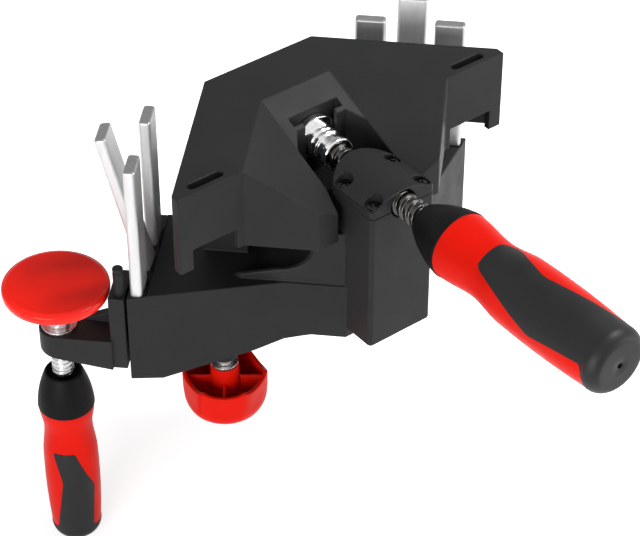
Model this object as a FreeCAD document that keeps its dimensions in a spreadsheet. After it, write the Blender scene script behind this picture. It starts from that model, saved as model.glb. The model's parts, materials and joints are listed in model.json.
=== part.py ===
import FreeCAD, Part
import Sketcher
import math
import os
import re

# Door frame clamp, in millimetres.
# Origin: middle of the centre block's underside. +Z points at the wall, the main spindle lies
# along Y with its handle towards -Y, and the two arms spread to -X and +X.
# Pieces that stand square to an arm are drawn in a frame turned by 45 degrees about Z. Its first
# axis runs along the left arm towards the corner and its second one points outwards.

SIZES = {
    # wedge, the sliding jaw; a reach is the sum of |X| and Y on a face at 45 degrees
    "wedge_top": 110.0,
    "wedge_height": 47.4,
    "wedge_reach": 141.2,
    "band_run": 45.4,           # flat top band, measured along X
    "tip_half": 107.3,
    "tip_front": 28.5,
    "tip_wall_share": 1.5,        # the tip's end wall is thicker than the others
    "apex_half": 35.6,
    "channel_half": 22.6,       # channel that straddles the block
    "channel_flare": 4.8,
    "flare_end": 18.0,
    "channel_end": 41.4,
    "nose_front": 1.2,
    "facet_slope": 0.4377,      # fall of the facets along X and along Y
    "wedge_wall": 4.0,
    "wedge_roof": 5.0,
    "wedge_rib": 2.4,
    "notch_inner": 71.2,
    "notch_outer": 98.9,
    "notch_top": 75.1,
    "tip_slot_start": 75.5,
    "tip_slot_length": 21.5,
    "tip_slot_width": 4.6,
    "tip_slot_setback": 6.0,
    "slide_gap": 0.3,

    # T slot of the wedge and the thrust head in it
    "ear_half": 16.1,
    "ear_front": 50.6,
    "ear_thickness": 3.0,
    "neck_half": 10.2,
    "tee_depth": 4.9,
    "tee_half": 15.8,
    "tee_below_axis": 17.0,
    "head_collar_radius": 9.6,
    "head_waist_radius": 8.2,
    "head_neck_radius": 9.5,
    "head_flange_radius": 13.5,
    "head_front": 35.5,
    "head_collar_length": 4.0,
    "head_ring_at": 9.5,
    "head_ring_radius": 9.6,
    "head_groove_at": 11.7,
    "head_groove_radius": 8.6,
    "head_groove_length": 1.2,
    "head_chamfer": 0.5,
    "head_pin_at": 6.6,
    "head_pin_short": 0.3,
    "head_recess_radius": 7.8,
    "head_recess_depth": 1.4,
    "head_play": 0.3,
    "spigot_radius": 5.0,
    "head_pin_radius": 1.3,

    # base with its block, arms and rails
    "block_half": 20.7,
    "block_front": -17.5,
    "block_side_back": 14.7,
    "block_bulge": 11.1,
    "block_height": 84.0,
    "block_corner": 2.4,
    "seat_height": 28.0,
    "floor_thickness": 5.0,
    "base_wall": 4.0,
    "arm_root": 2.8,
    "arm_bend": 44.2,
    "arm_end": 117.5,
    "base_reach": 184.0,
    "base_rear": 150.0,
    "step_along": 38.6,          # where the outer edge steps inwards, along the arm
    "step_reach": 166.0,
    "seat_inner_rib": 72.0,
    "seat_outer_rib": 109.0,
    "seat_strip": 120.4,        # the floor is a little lower from here outwards, round the pins
    "strip_drop": 0.5,
    "skirt_root": -7.0,
    "skirt_root_run": 34.0,
    "skirt_mid": -17.2,
    "skirt_mid_run": 58.0,
    "skirt_end": -30.2,
    "skirt_end_run": 102.0,
    "skirt_lift": 2.0,
    "gusset_thickness": 2.4,
    "gusset_setback": 1.2,
    "gusset_crest": 30.0,
    "gusset_shoulder": 50.0,
    "gusset_tail": 35.5,
    "gusset_tail_run": 45.5,
    "gusset_toe": 60.0,
    "gusset_lip": 30.2,
    "gusset_arc": 14.5,
    "rail_start": 10.0,
    "rail_inner": 101.8,
    "rail_outer": 135.8,
    "rail_rear": 122.0,

    # pins that reach into the gap behind the boards
    "pin_thickness": 6.4,
    "pin_width": 17.0,
    "pin_corner": 1.9,
    "pin_top": 107.6,
    "pin_middle_top": 110.5,
    "pin_depth": 18.0,
    "pin_line": 125.2,
    "pin_pitch": 22.0,
    "pin_middle": -2.6,
    "pin_lean": 13.1,
    "pin_fit": 0.05,
    "pin_boss_wall": 4.0,

    # cover, its screws and the spindle nut
    "cover_edge": 5.0,
    "cover_crown": 10.6,
    "cover_crown_half": 20.2,
    "cover_gap": 0.05,
    "screw_x": 15.7,
    "screw_front": -12.3,
    "screw_rear": 11.4,
    "screw_radius": 1.8,
    "screw_head_radius": 3.5,
    "screw_head_height": 2.4,
    "screw_length": 18.0,
    "screw_recess_radius": 4.5,
    "screw_seat": 2.6,
    "cross_width": 1.1,
    "cross_reach": 2.5,
    "cross_depth": 1.3,
    "axis_height": 86.0,
    "spindle_radius": 7.0,
    "spindle_play": 0.05,
    "bore_clearance": 0.8,
    "nut_half": 10.5,
    "nut_length": 18.0,
    "nut_start": -9.0,
    "nut_depth": 11.0,
    "nut_crown_radius": 8.4,
    "nut_fit": 0.05,

    # main handle; distances run from its front end
    "main_handle_front": -34.7,
    "main_length": 141.6,
    "main_front_radius": 8.7,
    "main_collar_at": 27.0,
    "main_collar_length": 27.0,
    "main_collar_radius": 18.4,
    "main_collar_curve": 56.0,
    "main_waist_at": 51.3,
    "main_waist_radius": 16.3,
    "main_bulge_at": 74.3,
    "main_bulge_radius": 19.0,
    "main_cap_at": 134.5,
    "main_cap_radius": 17.8,
    "main_end_radius": 12.5,
    "main_end_curve": 16.0,
    "main_tang_radius": 5.0,
    "main_tang_length": 95.0,
    "main_hole_radius": 1.6,
    "main_panel_angle": -37.0,

    # small handle, the same way
    "small_handle_top": -31.7,
    "small_length": 119.0,
    "small_front_radius": 9.0,
    "small_collar_at": 24.0,
    "small_collar_length": 27.5,
    "small_collar_radius": 15.3,
    "small_collar_curve": 60.0,
    "small_waist_at": 39.0,
    "small_waist_radius": 13.45,
    "small_bulge_at": 60.0,
    "small_bulge_radius": 15.2,
    "small_cap_at": 112.0,
    "small_cap_radius": 13.8,
    "small_end_radius": 9.5,
    "small_end_curve": 9.0,
    "small_tang_radius": 4.0,
    "small_tang_length": 80.0,
    "small_hole_radius": 1.3,
    "small_panel_angle": -38.0,
    "inlay_depth": 1.8,
    "hole_depth": 4.0,

    # support arm with its post, bush and clamping stud
    "track_at": -6.4,
    "stud_out": 84.1,
    "tongue_half": 8.0,
    "tongue_fit": 0.3,
    "tongue_top": -8.0,
    "tongue_bottom": -19.7,
    "tongue_inner": 73.0,
    "stud_boss_radius": 7.5,
    "stud_boss_bottom": -31.0,
    "riser_gap": 1.0,
    "riser_thickness": 8.5,
    "riser_front": -37.5,
    "riser_back": 3.4,
    "riser_step": -12.0,        # the riser is low behind this place
    "riser_low": 4.6,
    "lug_out": 169.1,
    "lug_at": -28.6,
    "lug_radius": 11.0,
    "lug_top": -0.2,
    "lug_web_top": 7.5,
    "lug_web_run": 18.0,
    "lug_web_thickness": 5.0,
    "lug_nose": -13.5,
    "bush_bottom": -16.0,
    "post_radius": 2.9,
    "post_at": -32.2,
    "post_height": 17.5,
    "post_foot": 6.0,
    "post_foot_radius": 2.4,
    "post_inset": 0.3,
    "post_groove_low": 3.2,
    "post_groove_high": 1.8,
    "post_groove_bevel": 0.4,
    "post_round": 0.9,
    "post_groove": 0.6,
    "stud_radius": 5.0,
    "stud_play": 0.4,
    "stud_head_radius": 9.0,
    "stud_head_height": 3.6,
    "stud_head_round": 2.0,
    "stud_chamfer": 1.0,
    "stud_seat": 0.0,           # floor of the channel that holds the stud's head
    "stud_head_play": 0.1,
    "stud_head_room": 0.6,
    "stud_below_hub": 11.0,
    "knob_lift": 4.5,
    "stud_end_gap": 0.5,

    # clamping knob, an open cup with flats
    "knob_top": -37.2,
    "knob_rim_drop": 4.8,
    "knob_radius": 23.7,
    "knob_flat": 21.8,
    "knob_height": 29.3,
    "knob_bottom_radius": 12.0,
    "knob_wall": 2.4,
    "knob_hub_radius": 7.8,
    "knob_rib": 1.8,
    "knob_rib_drop": 4.0,
    "knob_turn": -38.0,          # degrees about the stud
    "knob_scallop_radius": 30.7,
    "knob_scallop": 2.7,
    "insert_radius": 6.4,
    "insert_length": 14.0,
    "washer_radius": 7.4,
    "washer_thickness": 1.4,
    "washer_play": 0.1,

    # pressure pad with its spindle
    "pad_top": 29.4,
    "pad_radius": 28.9,
    "pad_thickness": 5.6,
    "pad_edge": 2.2,
    "pad_dome": 0.6,
    "pad_flat_radius": 20.0,
    "pad_neck_radius": 9.5,
    "pad_neck_depth": 5.6,
    "pad_neck_slope": 1.4,
    "ball_height": 21.2,
    "ball_radius": 4.4,
    "ball_play": 0.3,
    "socket_mouth": 3.9,
    "socket_flare": 0.6,
    "ball_neck": 3.0,
    "ring_radius": 7.0,
    "ring_top": 17.2,
    "ring_thickness": 1.4,
    "pad_spindle_radius": 5.9,
    "bush_radius": 8.0,
    "bush_flange": 9.6,
    "bush_flange_thickness": 1.5,
}

# corners of the soft inlays: across the handle, and down from its front end
INLAYS = {
    "main": {
        "near": [(-4.4, 53.0), (-13.2, 84.3), (-16.0, 97.6), (-11.8, 133.4)],
        "far": [(11.6, 87.7), (15.5, 64.0), (13.5, 54.0)],
    },
    "small": {
        "near": [(-8.8, 52.9), (-4.2, 72.0), (-9.8, 111.5)],
        "far": [(10.8, 111.5), (13.0, 77.5), (4.8, 49.5), (3.6, 48.3)],
    },
}
for kind, rows in INLAYS.items():
    for row, corners in rows.items():
        for i, (across, down) in enumerate(corners):
            SIZES[f"{kind}_{row}{i}_x"] = across
            SIZES[f"{kind}_{row}{i}_at"] = down

os.makedirs("parts", exist_ok=True)
doc = FreeCAD.newDocument("door_frame_clamp")
sheet = doc.addObject("Spreadsheet::Sheet", "Size")
for row, (alias, value) in enumerate(SIZES.items(), start=1):
    sheet.set(f"A{row}", alias)
    sheet.set(f"B{row}", str(value))
    sheet.setAlias(f"B{row}", alias)
doc.recompute()

BIG = 500                       # longer than the whole clamp, for cuts that go right through
ARM_TURN = 45                   # the left arm stands at 45 degrees to the spindle
X_AXIS = FreeCAD.Vector(1, 0, 0)
Z_AXIS = FreeCAD.Vector(0, 0, 1)

nodes = []


def sized(text):
    """Turn the size names in an expression into references to the sheet."""
    return re.sub(r"[a-z]\w*", lambda m: "Size." + m[0] if m[0] in SIZES else m[0], str(text))


def number(text):
    """Value of an expression of sizes."""
    result = sheet.evalExpression(str(text))
    return float(getattr(result, "Value", result))


def bind(thing, prop, text):
    """Bind a property of an object to an expression of sizes."""
    thing.setExpression(prop, sized(text))


def keep(thing, label):
    """Mark a finished object as one of the clamp's pieces."""
    thing.Label = label
    nodes.append(thing)
    return thing


def turn_about(axis, degrees):
    """Rotation about an axis."""
    return FreeCAD.Rotation(axis, degrees)


def place(thing, at=None, rotation=None):
    """Set an object's place by expressions and its rotation."""
    thing.Placement = FreeCAD.Placement(FreeCAD.Vector(), rotation or FreeCAD.Rotation())
    for axis, text in zip("xyz", at or ()):
        bind(thing, f"Placement.Base.{axis}", text)
    return thing


def new_body(name, at=None, rotation=None):
    """Empty body at its place."""
    return place(doc.addObject("PartDesign::Body", name), at, rotation)


def outline(owner, plane, path, lift="0"):
    """Closed sketch on one of a body's origin planes, or a free one where owner is a name.

    A path entry is (x, y) for a straight side that ends there, or (x, y, radius) for an arc.
    A positive radius turns left along the way. All entries are expressions of sizes.
    """
    if isinstance(owner, str):
        sketch = doc.addObject("Sketcher::SketchObject", owner)
        bind(sketch, "Placement.Base.z", lift)
    else:
        sketch = owner.newObject("Sketcher::SketchObject", owner.Name + "_sketch")
        datum = next(f for f in owner.Origin.OriginFeatures if f.Role == plane)
        sketch.AttachmentSupport = [(datum, "")]
        sketch.MapMode = "FlatFace"
        bind(sketch, "AttachmentOffset.Base.z", lift)
    spots = [FreeCAD.Vector(number(p[0]), number(p[1]), 0) for p in path]
    ends = []
    half_circles = {}
    for i, entry in enumerate(path):
        start, end = spots[i - 1], spots[i]
        if len(entry) == 2:
            ends.append((sketch.addGeometry(Part.LineSegment(start, end), False), 1, 2))
            continue
        radius = number(entry[2])
        half = (end - start) * 0.5
        rise = math.sqrt(max(radius * radius - half.Length ** 2, 0))
        if rise < 1e-3:
            half_circles[i] = 0 if abs(half.y) > abs(half.x) else 1
        side = FreeCAD.Vector(-half.y, half.x, 0).normalize() * math.copysign(rise, radius)
        centre = start + half + side
        first, last = (start, end) if radius > 0 else (end, start)
        angles = [math.atan2(v.y - centre.y, v.x - centre.x) for v in (first, last)]
        circle = Part.Circle(centre, Z_AXIS, abs(radius))
        index = sketch.addGeometry(Part.ArcOfCircle(circle, angles[0], angles[1]), False)
        ends.append((index, 1, 2) if radius > 0 else (index, 2, 1))
    rules = []
    for i, (index, tail, head) in enumerate(ends):
        before, _, spot = ends[i - 1]
        sketch.addConstraint(Sketcher.Constraint("Coincident", before, spot, index, tail))
        rules.append(("DistanceX", (-1, 1, index, head), path[i][0]))
        rules.append(("DistanceY", (-1, 1, index, head), path[i][1]))
        if i in half_circles:
            x_or_y = half_circles[i]
            rules.append(("DistanceX" if x_or_y == 0 else "DistanceY", (-1, 1, index, 3), path[i][x_or_y]))
        elif len(path[i]) == 3:
            rules.append(("Radius", (index,), f"abs({path[i][2]})"))
    for kind, points, text in rules:
        rule = sketch.addConstraint(Sketcher.Constraint(kind, *points, number(text)))
        bind(sketch, f"Constraints[{rule}]", text)
    return sketch


def pad(body, sketch, length, both_ways=False):
    """Add material from a sketch, along its normal or to both sides of it."""
    feature = body.newObject("PartDesign::Pad", body.Name + "_pad")
    feature.Profile = sketch
    feature.Midplane = both_ways
    bind(feature, "Length", length)
    doc.recompute()
    return feature


def pocket(body, sketch, length, both_ways=False, upwards=False):
    """Remove material under a sketch; it must really cut."""
    before = body.Shape.Volume
    feature = body.newObject("PartDesign::Pocket", body.Name + "_pocket")
    feature.Profile = sketch
    feature.Midplane = both_ways
    feature.Reversed = upwards
    bind(feature, "Length", length)
    doc.recompute()
    if body.Shape.Volume > before - 1e-3:
        raise RuntimeError(feature.Name + " cuts nothing")
    return feature


def prism(name, plane, path, low, high, at=None, rotation=None):
    """Body with one pad, from low to high along the plane's normal."""
    body = new_body(name, at, rotation)
    pad(body, outline(body, plane, path, lift=low), f"({high}) - ({low})")
    return body


def arm_prism(name, path, low, high):
    """Upright prism with its outline in the left arm's frame."""
    return prism(name, "XY_Plane", path, low, high, rotation=turn_about(Z_AXIS, ARM_TURN))


def turned(name, profile, plane="XZ_Plane", axis="V_Axis", at=None, rotation=None):
    """Body of revolution from a closed half profile."""
    body = new_body(name, at, rotation)
    feature = body.newObject("PartDesign::Revolution", name + "_turn")
    feature.Profile = outline(body, plane, profile)
    feature.ReferenceAxis = (feature.Profile[0], [axis])
    feature.Angle = 360
    doc.recompute()
    return body


def rod(name, radius, low, high, at=("0", "0")):
    """Upright cylinder between two heights."""
    thing = place(doc.addObject("Part::Cylinder", name), (*at, low))
    bind(thing, "Radius", radius)
    bind(thing, "Height", f"({high}) - ({low})")
    return thing


def rod_along(name, radius, start, end, x="0", z="axis_height"):
    """Cylinder along Y between two places."""
    thing = place(doc.addObject("Part::Cylinder", name), (x, start, z), turn_about(X_AXIS, -90))
    bind(thing, "Radius", radius)
    bind(thing, "Height", f"({end}) - ({start})")
    return thing


def arm_point(along, out):
    """X and Y expressions of a point given in the left arm's frame."""
    return f"(({along}) - ({out})) / sqrt(2)", f"(({along}) + ({out})) / sqrt(2)"


def box(name, x, y, z, at=None, rotation=None):
    """Box between two expressions on each axis, or of that size at another place."""
    thing = place(doc.addObject("Part::Box", name), at or (x[0], y[0], z[0]), rotation)
    for prop, (low, high) in zip(("Length", "Width", "Height"), (x, y, z)):
        bind(thing, prop, f"({high}) - ({low})")
    return thing


def arm_box(name, along, out, z):
    """Box square to the left arm."""
    return box(name, along, out, z, at=(*arm_point(along[0], out[0]), z[0]),
               rotation=turn_about(Z_AXIS, ARM_TURN))


def join(name, things):
    """Fuse several solids."""
    fused = doc.addObject("Part::MultiFuse", name)
    fused.Shapes = things
    fused.Refine = True
    return fused


def cut(name, base, tools):
    """Cut one or more tools out of a solid."""
    result = doc.addObject("Part::Cut", name)
    result.Base = base
    result.Tool = tools[0] if len(tools) == 1 else join(name + "_tools", tools)
    result.Refine = True
    return result


def common(name, one, other):
    """Volume that two solids share."""
    result = doc.addObject("Part::MultiCommon", name)
    result.Shapes = [one, other]
    return result


def mirrored(name, thing):
    """Mirror image on the other side of the spindle."""
    image = doc.addObject("Part::Mirroring", name)
    image.Source = thing
    image.Normal = X_AXIS
    return image


def with_image(path):
    """Close the left half of a path with its mirror image."""
    return list(path) + [(f"-({x})", y) for x, y in reversed(path)]


def oblong(start, end, middle, radius, upright=False):
    """Path of a slot with round ends, along x, or along y where it is upright."""
    path = [(start, f"{middle} - {radius}", radius), (end, f"{middle} - {radius}"),
            (end, f"{middle} + {radius}", radius), (start, f"{middle} + {radius}")]
    if not upright:
        return path
    return [(f"{middle} + {radius}", start, radius), (f"{middle} + {radius}", end),
            (f"{middle} - {radius}", end, radius), (f"{middle} - {radius}", start)]


# Wedge

WEDGE_BOTTOM = "(wedge_top - wedge_height)"
INNER_REACH = "(wedge_reach - band_run)"
TIP_CORNER = f"({INNER_REACH} - tip_front)"
NOSE_CORNER = f"({TIP_CORNER} - tip_front + nose_front)"
FACET_TOP = f"({INNER_REACH} - channel_half)"
TEE_BACK = "(ear_front + ear_thickness + tee_depth)"


def wedge_wing(name, inset, bottom, drop):
    """Left wing: its plan, inset by a wall, under its band and sloping facet."""
    side = f"(channel_half + {inset})"
    bevel = f"{inset} * (sqrt(2) - 1)"
    front = f"(nose_front + {inset})"
    tip = f"(tip_front + {inset})"
    tip_side = f"(tip_half - tip_wall_share * {inset})"
    outer = f"(wedge_reach - {inset} * sqrt(2))"
    apex = f"(wedge_reach - apex_half - {inset})"
    path = [
        (f"-({side} + channel_flare)", front),
        (f"-({NOSE_CORNER} - {bevel})", front),
        (f"-({TIP_CORNER} - {bevel})", tip),
        (f"-{tip_side}", tip),
        (f"-{tip_side}", f"{outer} - {tip_side}"),
        (f"-({outer} - {apex})", apex),
        (f"-{side}", apex),
        (f"-{side}", "flare_end"),
    ]
    plan = prism(name + "_plan", "XY_Plane", path, bottom, "wedge_top")
    roof = [
        ("0", bottom),
        ("wedge_reach", bottom),
        ("wedge_reach", f"wedge_top - {drop}"),
        (f"{INNER_REACH} / sqrt(2)", f"wedge_top - {drop}"),
        ("0", f"wedge_top - facet_slope * {INNER_REACH} - {drop}"),
    ]
    bar = new_body(name + "_roof", rotation=turn_about(Z_AXIS, ARM_TURN))
    pad(bar, outline(bar, "YZ_Plane", roof), BIG, both_ways=True)
    return common(name, plan, bar)


def wedge_middle():
    """Middle of the wedge behind the channel, with the T slot for the spindle's head."""
    body = new_body("wedge_middle")
    plan = with_image([
        ("-channel_half", "wedge_reach - apex_half"),
        ("-channel_half", "channel_end"),
        ("-ear_half", "ear_front"),
    ])
    pad(body, outline(body, "XY_Plane", plan, lift=WEDGE_BOTTOM), "wedge_height")
    slope = [
        (FACET_TOP, "wedge_top"),
        ("nose_front", f"wedge_top - facet_slope * ({FACET_TOP} - nose_front)"),
        ("nose_front", "wedge_top"),
    ]
    pocket(body, outline(body, "YZ_Plane", slope), BIG, both_ways=True)
    ear_back = "ear_front + ear_thickness"
    tee = with_image([
        ("-neck_half", "ear_front - ear_thickness"),
        ("-neck_half", ear_back),
        ("-tee_half", ear_back),
        ("-tee_half", TEE_BACK),
    ])
    pocket(body, outline(body, "XY_Plane", tee, lift="wedge_top"),
           "wedge_top - axis_height + tee_below_axis")
    hollow = with_image([
        ("-channel_half", "wedge_reach - apex_half - wedge_wall"),
        ("-channel_half", f"{TEE_BACK} + wedge_wall"),
    ])
    pocket(body, outline(body, "XY_Plane", hollow, lift=WEDGE_BOTTOM),
           "wedge_height - wedge_roof - facet_slope * channel_half / 2", upwards=True)
    return body


def wedge_body():
    """Hollow sliding jaw with its channel, T slot, notched tips and ribs."""
    below = f"({WEDGE_BOTTOM} - 1)"
    ribs = [
        arm_box(f"wing_rib_{i}", (f"{at} - wedge_rib / 2", f"{at} + wedge_rib / 2"),
                ("0", "wedge_reach"), (below, "wedge_top"))
        for i, at in enumerate((f"-({TIP_CORNER} - tip_front) / sqrt(2) + wedge_wall * 3",
                                "rail_start", "rail_start * 4"))
    ]
    cells = cut("wing_cells", wedge_wing("wing_hollow", "wedge_wall", below, "wedge_roof"), ribs)
    shell = cut("wing_shell", wedge_wing("wing", "0", WEDGE_BOTTOM, "0"), [cells])
    whole = join("wedge_whole", [wedge_middle(), shell, mirrored("right_wing", shell)])
    notch = box("left_notch", ("-notch_outer", "-notch_inner"),
                ("tip_front - 1", "tip_front + wedge_wall + 1"), (below, "notch_top"))
    slot_path = oblong("-(tip_slot_start + tip_slot_length - tip_slot_width / 2)",
                       "-(tip_slot_start + tip_slot_width / 2)",
                       "(tip_front + tip_slot_setback)", "tip_slot_width / 2")
    slot = prism("left_tip_slot", "XY_Plane", slot_path, "wedge_top - wedge_roof * 2", "wedge_top + 1")
    tools = [notch, slot, mirrored("right_notch", notch), mirrored("right_tip_slot", slot)]
    return keep(cut("wedge", whole, tools), "wedge_body")


# Base

GUSSET_TOP = f"({WEDGE_BOTTOM} - slide_gap)"
EDGE_OUT = "(base_reach / sqrt(2))"
DEEP = "(2 * skirt_end)"
STUD_HALF = "(stud_radius + stud_play)"
HEAD_HALF = "(stud_head_radius + stud_play)"
NUT_END = "(nut_start + nut_length)"
FLOOR_UNDER = "(seat_height - floor_thickness)"
ARM_OFFSET = "(arm_root - block_half)"


def block_path():
    """Plan of the centre block and its cover, with an arched back."""
    arch = "(block_half ^ 2 + block_bulge ^ 2) / (2 * block_bulge)"
    return [
        ("-block_half + block_corner", "block_front", "block_corner"),
        ("block_half - block_corner", "block_front"),
        ("block_half", "block_front + block_corner", "block_corner"),
        ("block_half", "block_side_back"),
        ("-block_half", "block_side_back", arch),
        ("-block_half", "block_front + block_corner"),
    ]


def skirt_cutter():
    """Space under the base, with its sloping upper side."""
    line = with_image([
        (f"-{BIG}", DEEP + " * 2"),
        (f"-{BIG}", "skirt_end + skirt_lift"),
        ("-arm_end", "skirt_end + skirt_lift"),
        ("-skirt_end_run", "skirt_end"),
        ("-skirt_mid_run", "skirt_mid"),
        ("-skirt_root_run", "skirt_root"),
    ])
    body = new_body("under_base")
    pad(body, outline(body, "XZ_Plane", line), 2 * BIG, both_ways=True)
    return body


def extruded(name, profile, height):
    """Solid from a free outline."""
    solid = doc.addObject("Part::Extrusion", name)
    solid.Base = profile
    solid.DirMode = "Custom"
    solid.Dir = Z_AXIS
    solid.Solid = True
    bind(solid, "LengthFwd", height)
    return solid


def track_path():
    """Plan of the solid strip that guides the support arm."""
    half = "(tongue_half + tongue_fit + base_wall)"
    inner = "tongue_inner - 2 * base_wall"
    return [(f"track_at - {half}", inner), (f"track_at + {half}", inner),
            (f"track_at + {half}", f"{EDGE_OUT} - 1"), (f"track_at - {half}", f"{EDGE_OUT} - 1")]


def base_shell():
    """Floor, outer walls and the solid strips below the floor."""
    step = "step_along / sqrt(2)"
    plan = with_image([
        ("-(step_reach - base_rear)", "base_rear"),
        (f"-(step_reach / 2 - {step})", f"step_reach / 2 + {step}"),
        (f"-(base_reach / 2 - {step})", f"base_reach / 2 + {step}"),
        ("-arm_end", "base_reach - arm_end"),
        ("-arm_bend", f"arm_bend + {ARM_OFFSET}"),
        ("-block_half", "arm_root"),
    ])
    outer = outline("base_outline", None, plan, lift=DEEP)
    inner = doc.addObject("Part::Offset2D", "cell_outline")
    inner.Source = outer
    inner.Join = "Intersection"
    bind(inner, "Value", "-base_wall")
    cells = extruded("cell_block", inner, f"{FLOOR_UNDER} - {DEEP}")
    reach = "(pin_pitch + pin_width / 2 + pin_boss_wall)"
    lean = "pin_depth * tan(pin_lean)"
    boss = arm_box("pin_boss", (f"pin_middle - {reach}", f"pin_middle + {reach}"),
                   (f"pin_line - pin_thickness / 2 - pin_boss_wall - {lean}", EDGE_OUT),
                   ("seat_height - pin_depth - pin_boss_wall", "seat_height"))
    track = arm_prism("track", track_path(), DEEP, "seat_height")
    ribs = []
    for i, out in enumerate(("seat_inner_rib", "seat_outer_rib")):
        ribs.append(arm_box(f"base_rib_{i}", ("-arm_end", "arm_end"), (out, f"{out} + wedge_rib"),
                            (DEEP, "seat_height")))
    spine = box("base_spine", ("-wedge_rib / 2", "wedge_rib / 2"), ("block_side_back", "base_rear"),
                (DEEP, "seat_height"))
    left = [boss] + ribs
    solids = left + [mirrored("right_" + s.Name, s) for s in left] + [track, spine]
    hollow = cut("base_cells", cells, solids)
    strip = arm_box("pin_strip", ("-arm_end", "step_along"), ("seat_strip", "2 * arm_end"),
                    ("seat_height - strip_drop", "seat_height + 1"))
    return cut("base_shell", extruded("base_slab", outer, f"seat_height - {DEEP}"),
               [hollow, skirt_cutter(), strip, mirrored("right_pin_strip", strip)])


def gusset():
    """Left gusset: an upright plate beside the block with a hollow curved top edge."""
    front = f"({ARM_OFFSET} + gusset_setback * sqrt(2))"
    back = f"({front} + gusset_thickness * sqrt(2))"
    inside = "(block_half - 2)"
    path = [
        (f"-{inside}", f"{front} + {inside}"),
        (f"-{inside}", f"{back} + {inside}"),
        ("-gusset_toe", f"{back} + gusset_toe"),
        ("-gusset_toe", f"{front} + gusset_toe"),
    ]
    body = prism("gusset", "XY_Plane", path, "seat_height - 1", GUSSET_TOP)
    curve = [
        ("-gusset_crest", GUSSET_TOP),
        ("-gusset_crest", "wedge_top"),
        ("-2 * gusset_toe", "wedge_top"),
        ("-2 * gusset_toe", "gusset_lip"),
        ("-gusset_toe", "gusset_lip"),
        ("-gusset_tail_run", "gusset_tail"),
        ("-(gusset_crest + 2)", "gusset_shoulder", "gusset_arc"),
    ]
    pocket(body, outline(body, "XZ_Plane", curve), BIG, both_ways=True)
    return body


def raised_left():
    """Left half of what stands on the floor, square to the arm."""
    rail = arm_prism("rail", [
        ("rail_start", "rail_inner / sqrt(2)"),
        ("rail_inner / sqrt(2)", "rail_inner / sqrt(2)"),
        ("rail_rear / sqrt(2)", "rail_rear / sqrt(2)"),
        ("(2 * rail_rear - rail_outer) / sqrt(2)", "rail_outer / sqrt(2)"),
        ("rail_start", "rail_outer / sqrt(2)"),
    ], "seat_height - 1", GUSSET_TOP)
    return [gusset(), rail]


def rail_hollow():
    """Space inside the left rail, open below."""
    return arm_prism("rail_hollow", [
        ("rail_start + base_wall", "rail_inner / sqrt(2) + base_wall"),
        ("rail_inner / sqrt(2) - base_wall", "rail_inner / sqrt(2) + base_wall"),
        ("rail_inner / sqrt(2) - base_wall", "rail_outer / sqrt(2) - base_wall"),
        ("rail_start + base_wall", "rail_outer / sqrt(2) - base_wall"),
    ], f"{FLOOR_UNDER} - 1", f"{GUSSET_TOP} - wedge_roof")


def pin_shape(name, along, top, leans, grow="0"):
    """A flat pin with rounded corners, grown by a fit for its socket."""
    wide = f"(pin_width / 2 + {grow})"
    thick = f"(pin_thickness / 2 + {grow})"
    corner = "pin_corner"
    path = [
        (f"-{wide} + {corner}", f"-{thick}", corner),
        (f"{wide} - {corner}", f"-{thick}"),
        (wide, f"-{thick} + {corner}", corner),
        (wide, f"{thick} - {corner}"),
        (f"{wide} - {corner}", thick, corner),
        (f"-{wide} + {corner}", thick),
        (f"-{wide}", f"{thick} - {corner}", corner),
        (f"-{wide}", f"-{thick} + {corner}"),
    ]
    lean = number("pin_lean") if leans else 0
    rise = f"({top} - seat_height)" + (" / cos(pin_lean)" if leans else "")
    return prism(name, "XY_Plane", path, "-pin_depth", rise,
                 at=(*arm_point(along, "pin_line"), "seat_height"),
                 rotation=turn_about(Z_AXIS, ARM_TURN) * turn_about(X_AXIS, -lean))


PINS = [
    ("front_pin", "pin_middle - pin_pitch", "pin_top", False),
    ("middle_pin", "pin_middle", "pin_middle_top", True),
    ("rear_pin", "pin_middle + pin_pitch", "pin_top", False),
]


def pins():
    """Three pins on each arm; the middle one leans outwards. Gives back their sockets."""
    sockets = []
    for name, along, top, leans in PINS:
        pin = keep(pin_shape(name, along, top, leans), "left_" + name)
        keep(mirrored("right_" + name, pin), "right_" + name)
        socket = pin_shape(name + "_socket", along, top, leans, grow="pin_fit")
        sockets += [socket, mirrored("right_" + name + "_socket", socket)]
    return sockets


def track_cutters():
    """Channel for the tongue and the T channel above it for the stud and its head."""
    half = "(tongue_half + tongue_fit)"
    channel = arm_box("tongue_channel", (f"track_at - {half}", f"track_at + {half}"),
                      ("tongue_inner - 1", f"{EDGE_OUT} + 1"),
                      (DEEP, "tongue_top + tongue_fit"))
    far = f"{EDGE_OUT} + 2 * stud_head_radius"
    stud = arm_prism("stud_slot", oblong("stud_out", far, "track_at", STUD_HALF, upright=True),
                     DEEP, "stud_seat + stud_head_height")
    head = arm_prism("head_slot", oblong("stud_out", far, "track_at", HEAD_HALF, upright=True),
                     "stud_seat", "stud_seat + stud_head_height + stud_head_room")
    return [channel, stud, head]


def screw_places():
    """X and Y expressions of the four cover screws."""
    return [(f"{side}screw_x", y) for side in ("", "-") for y in ("screw_front", "screw_rear")]


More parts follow.
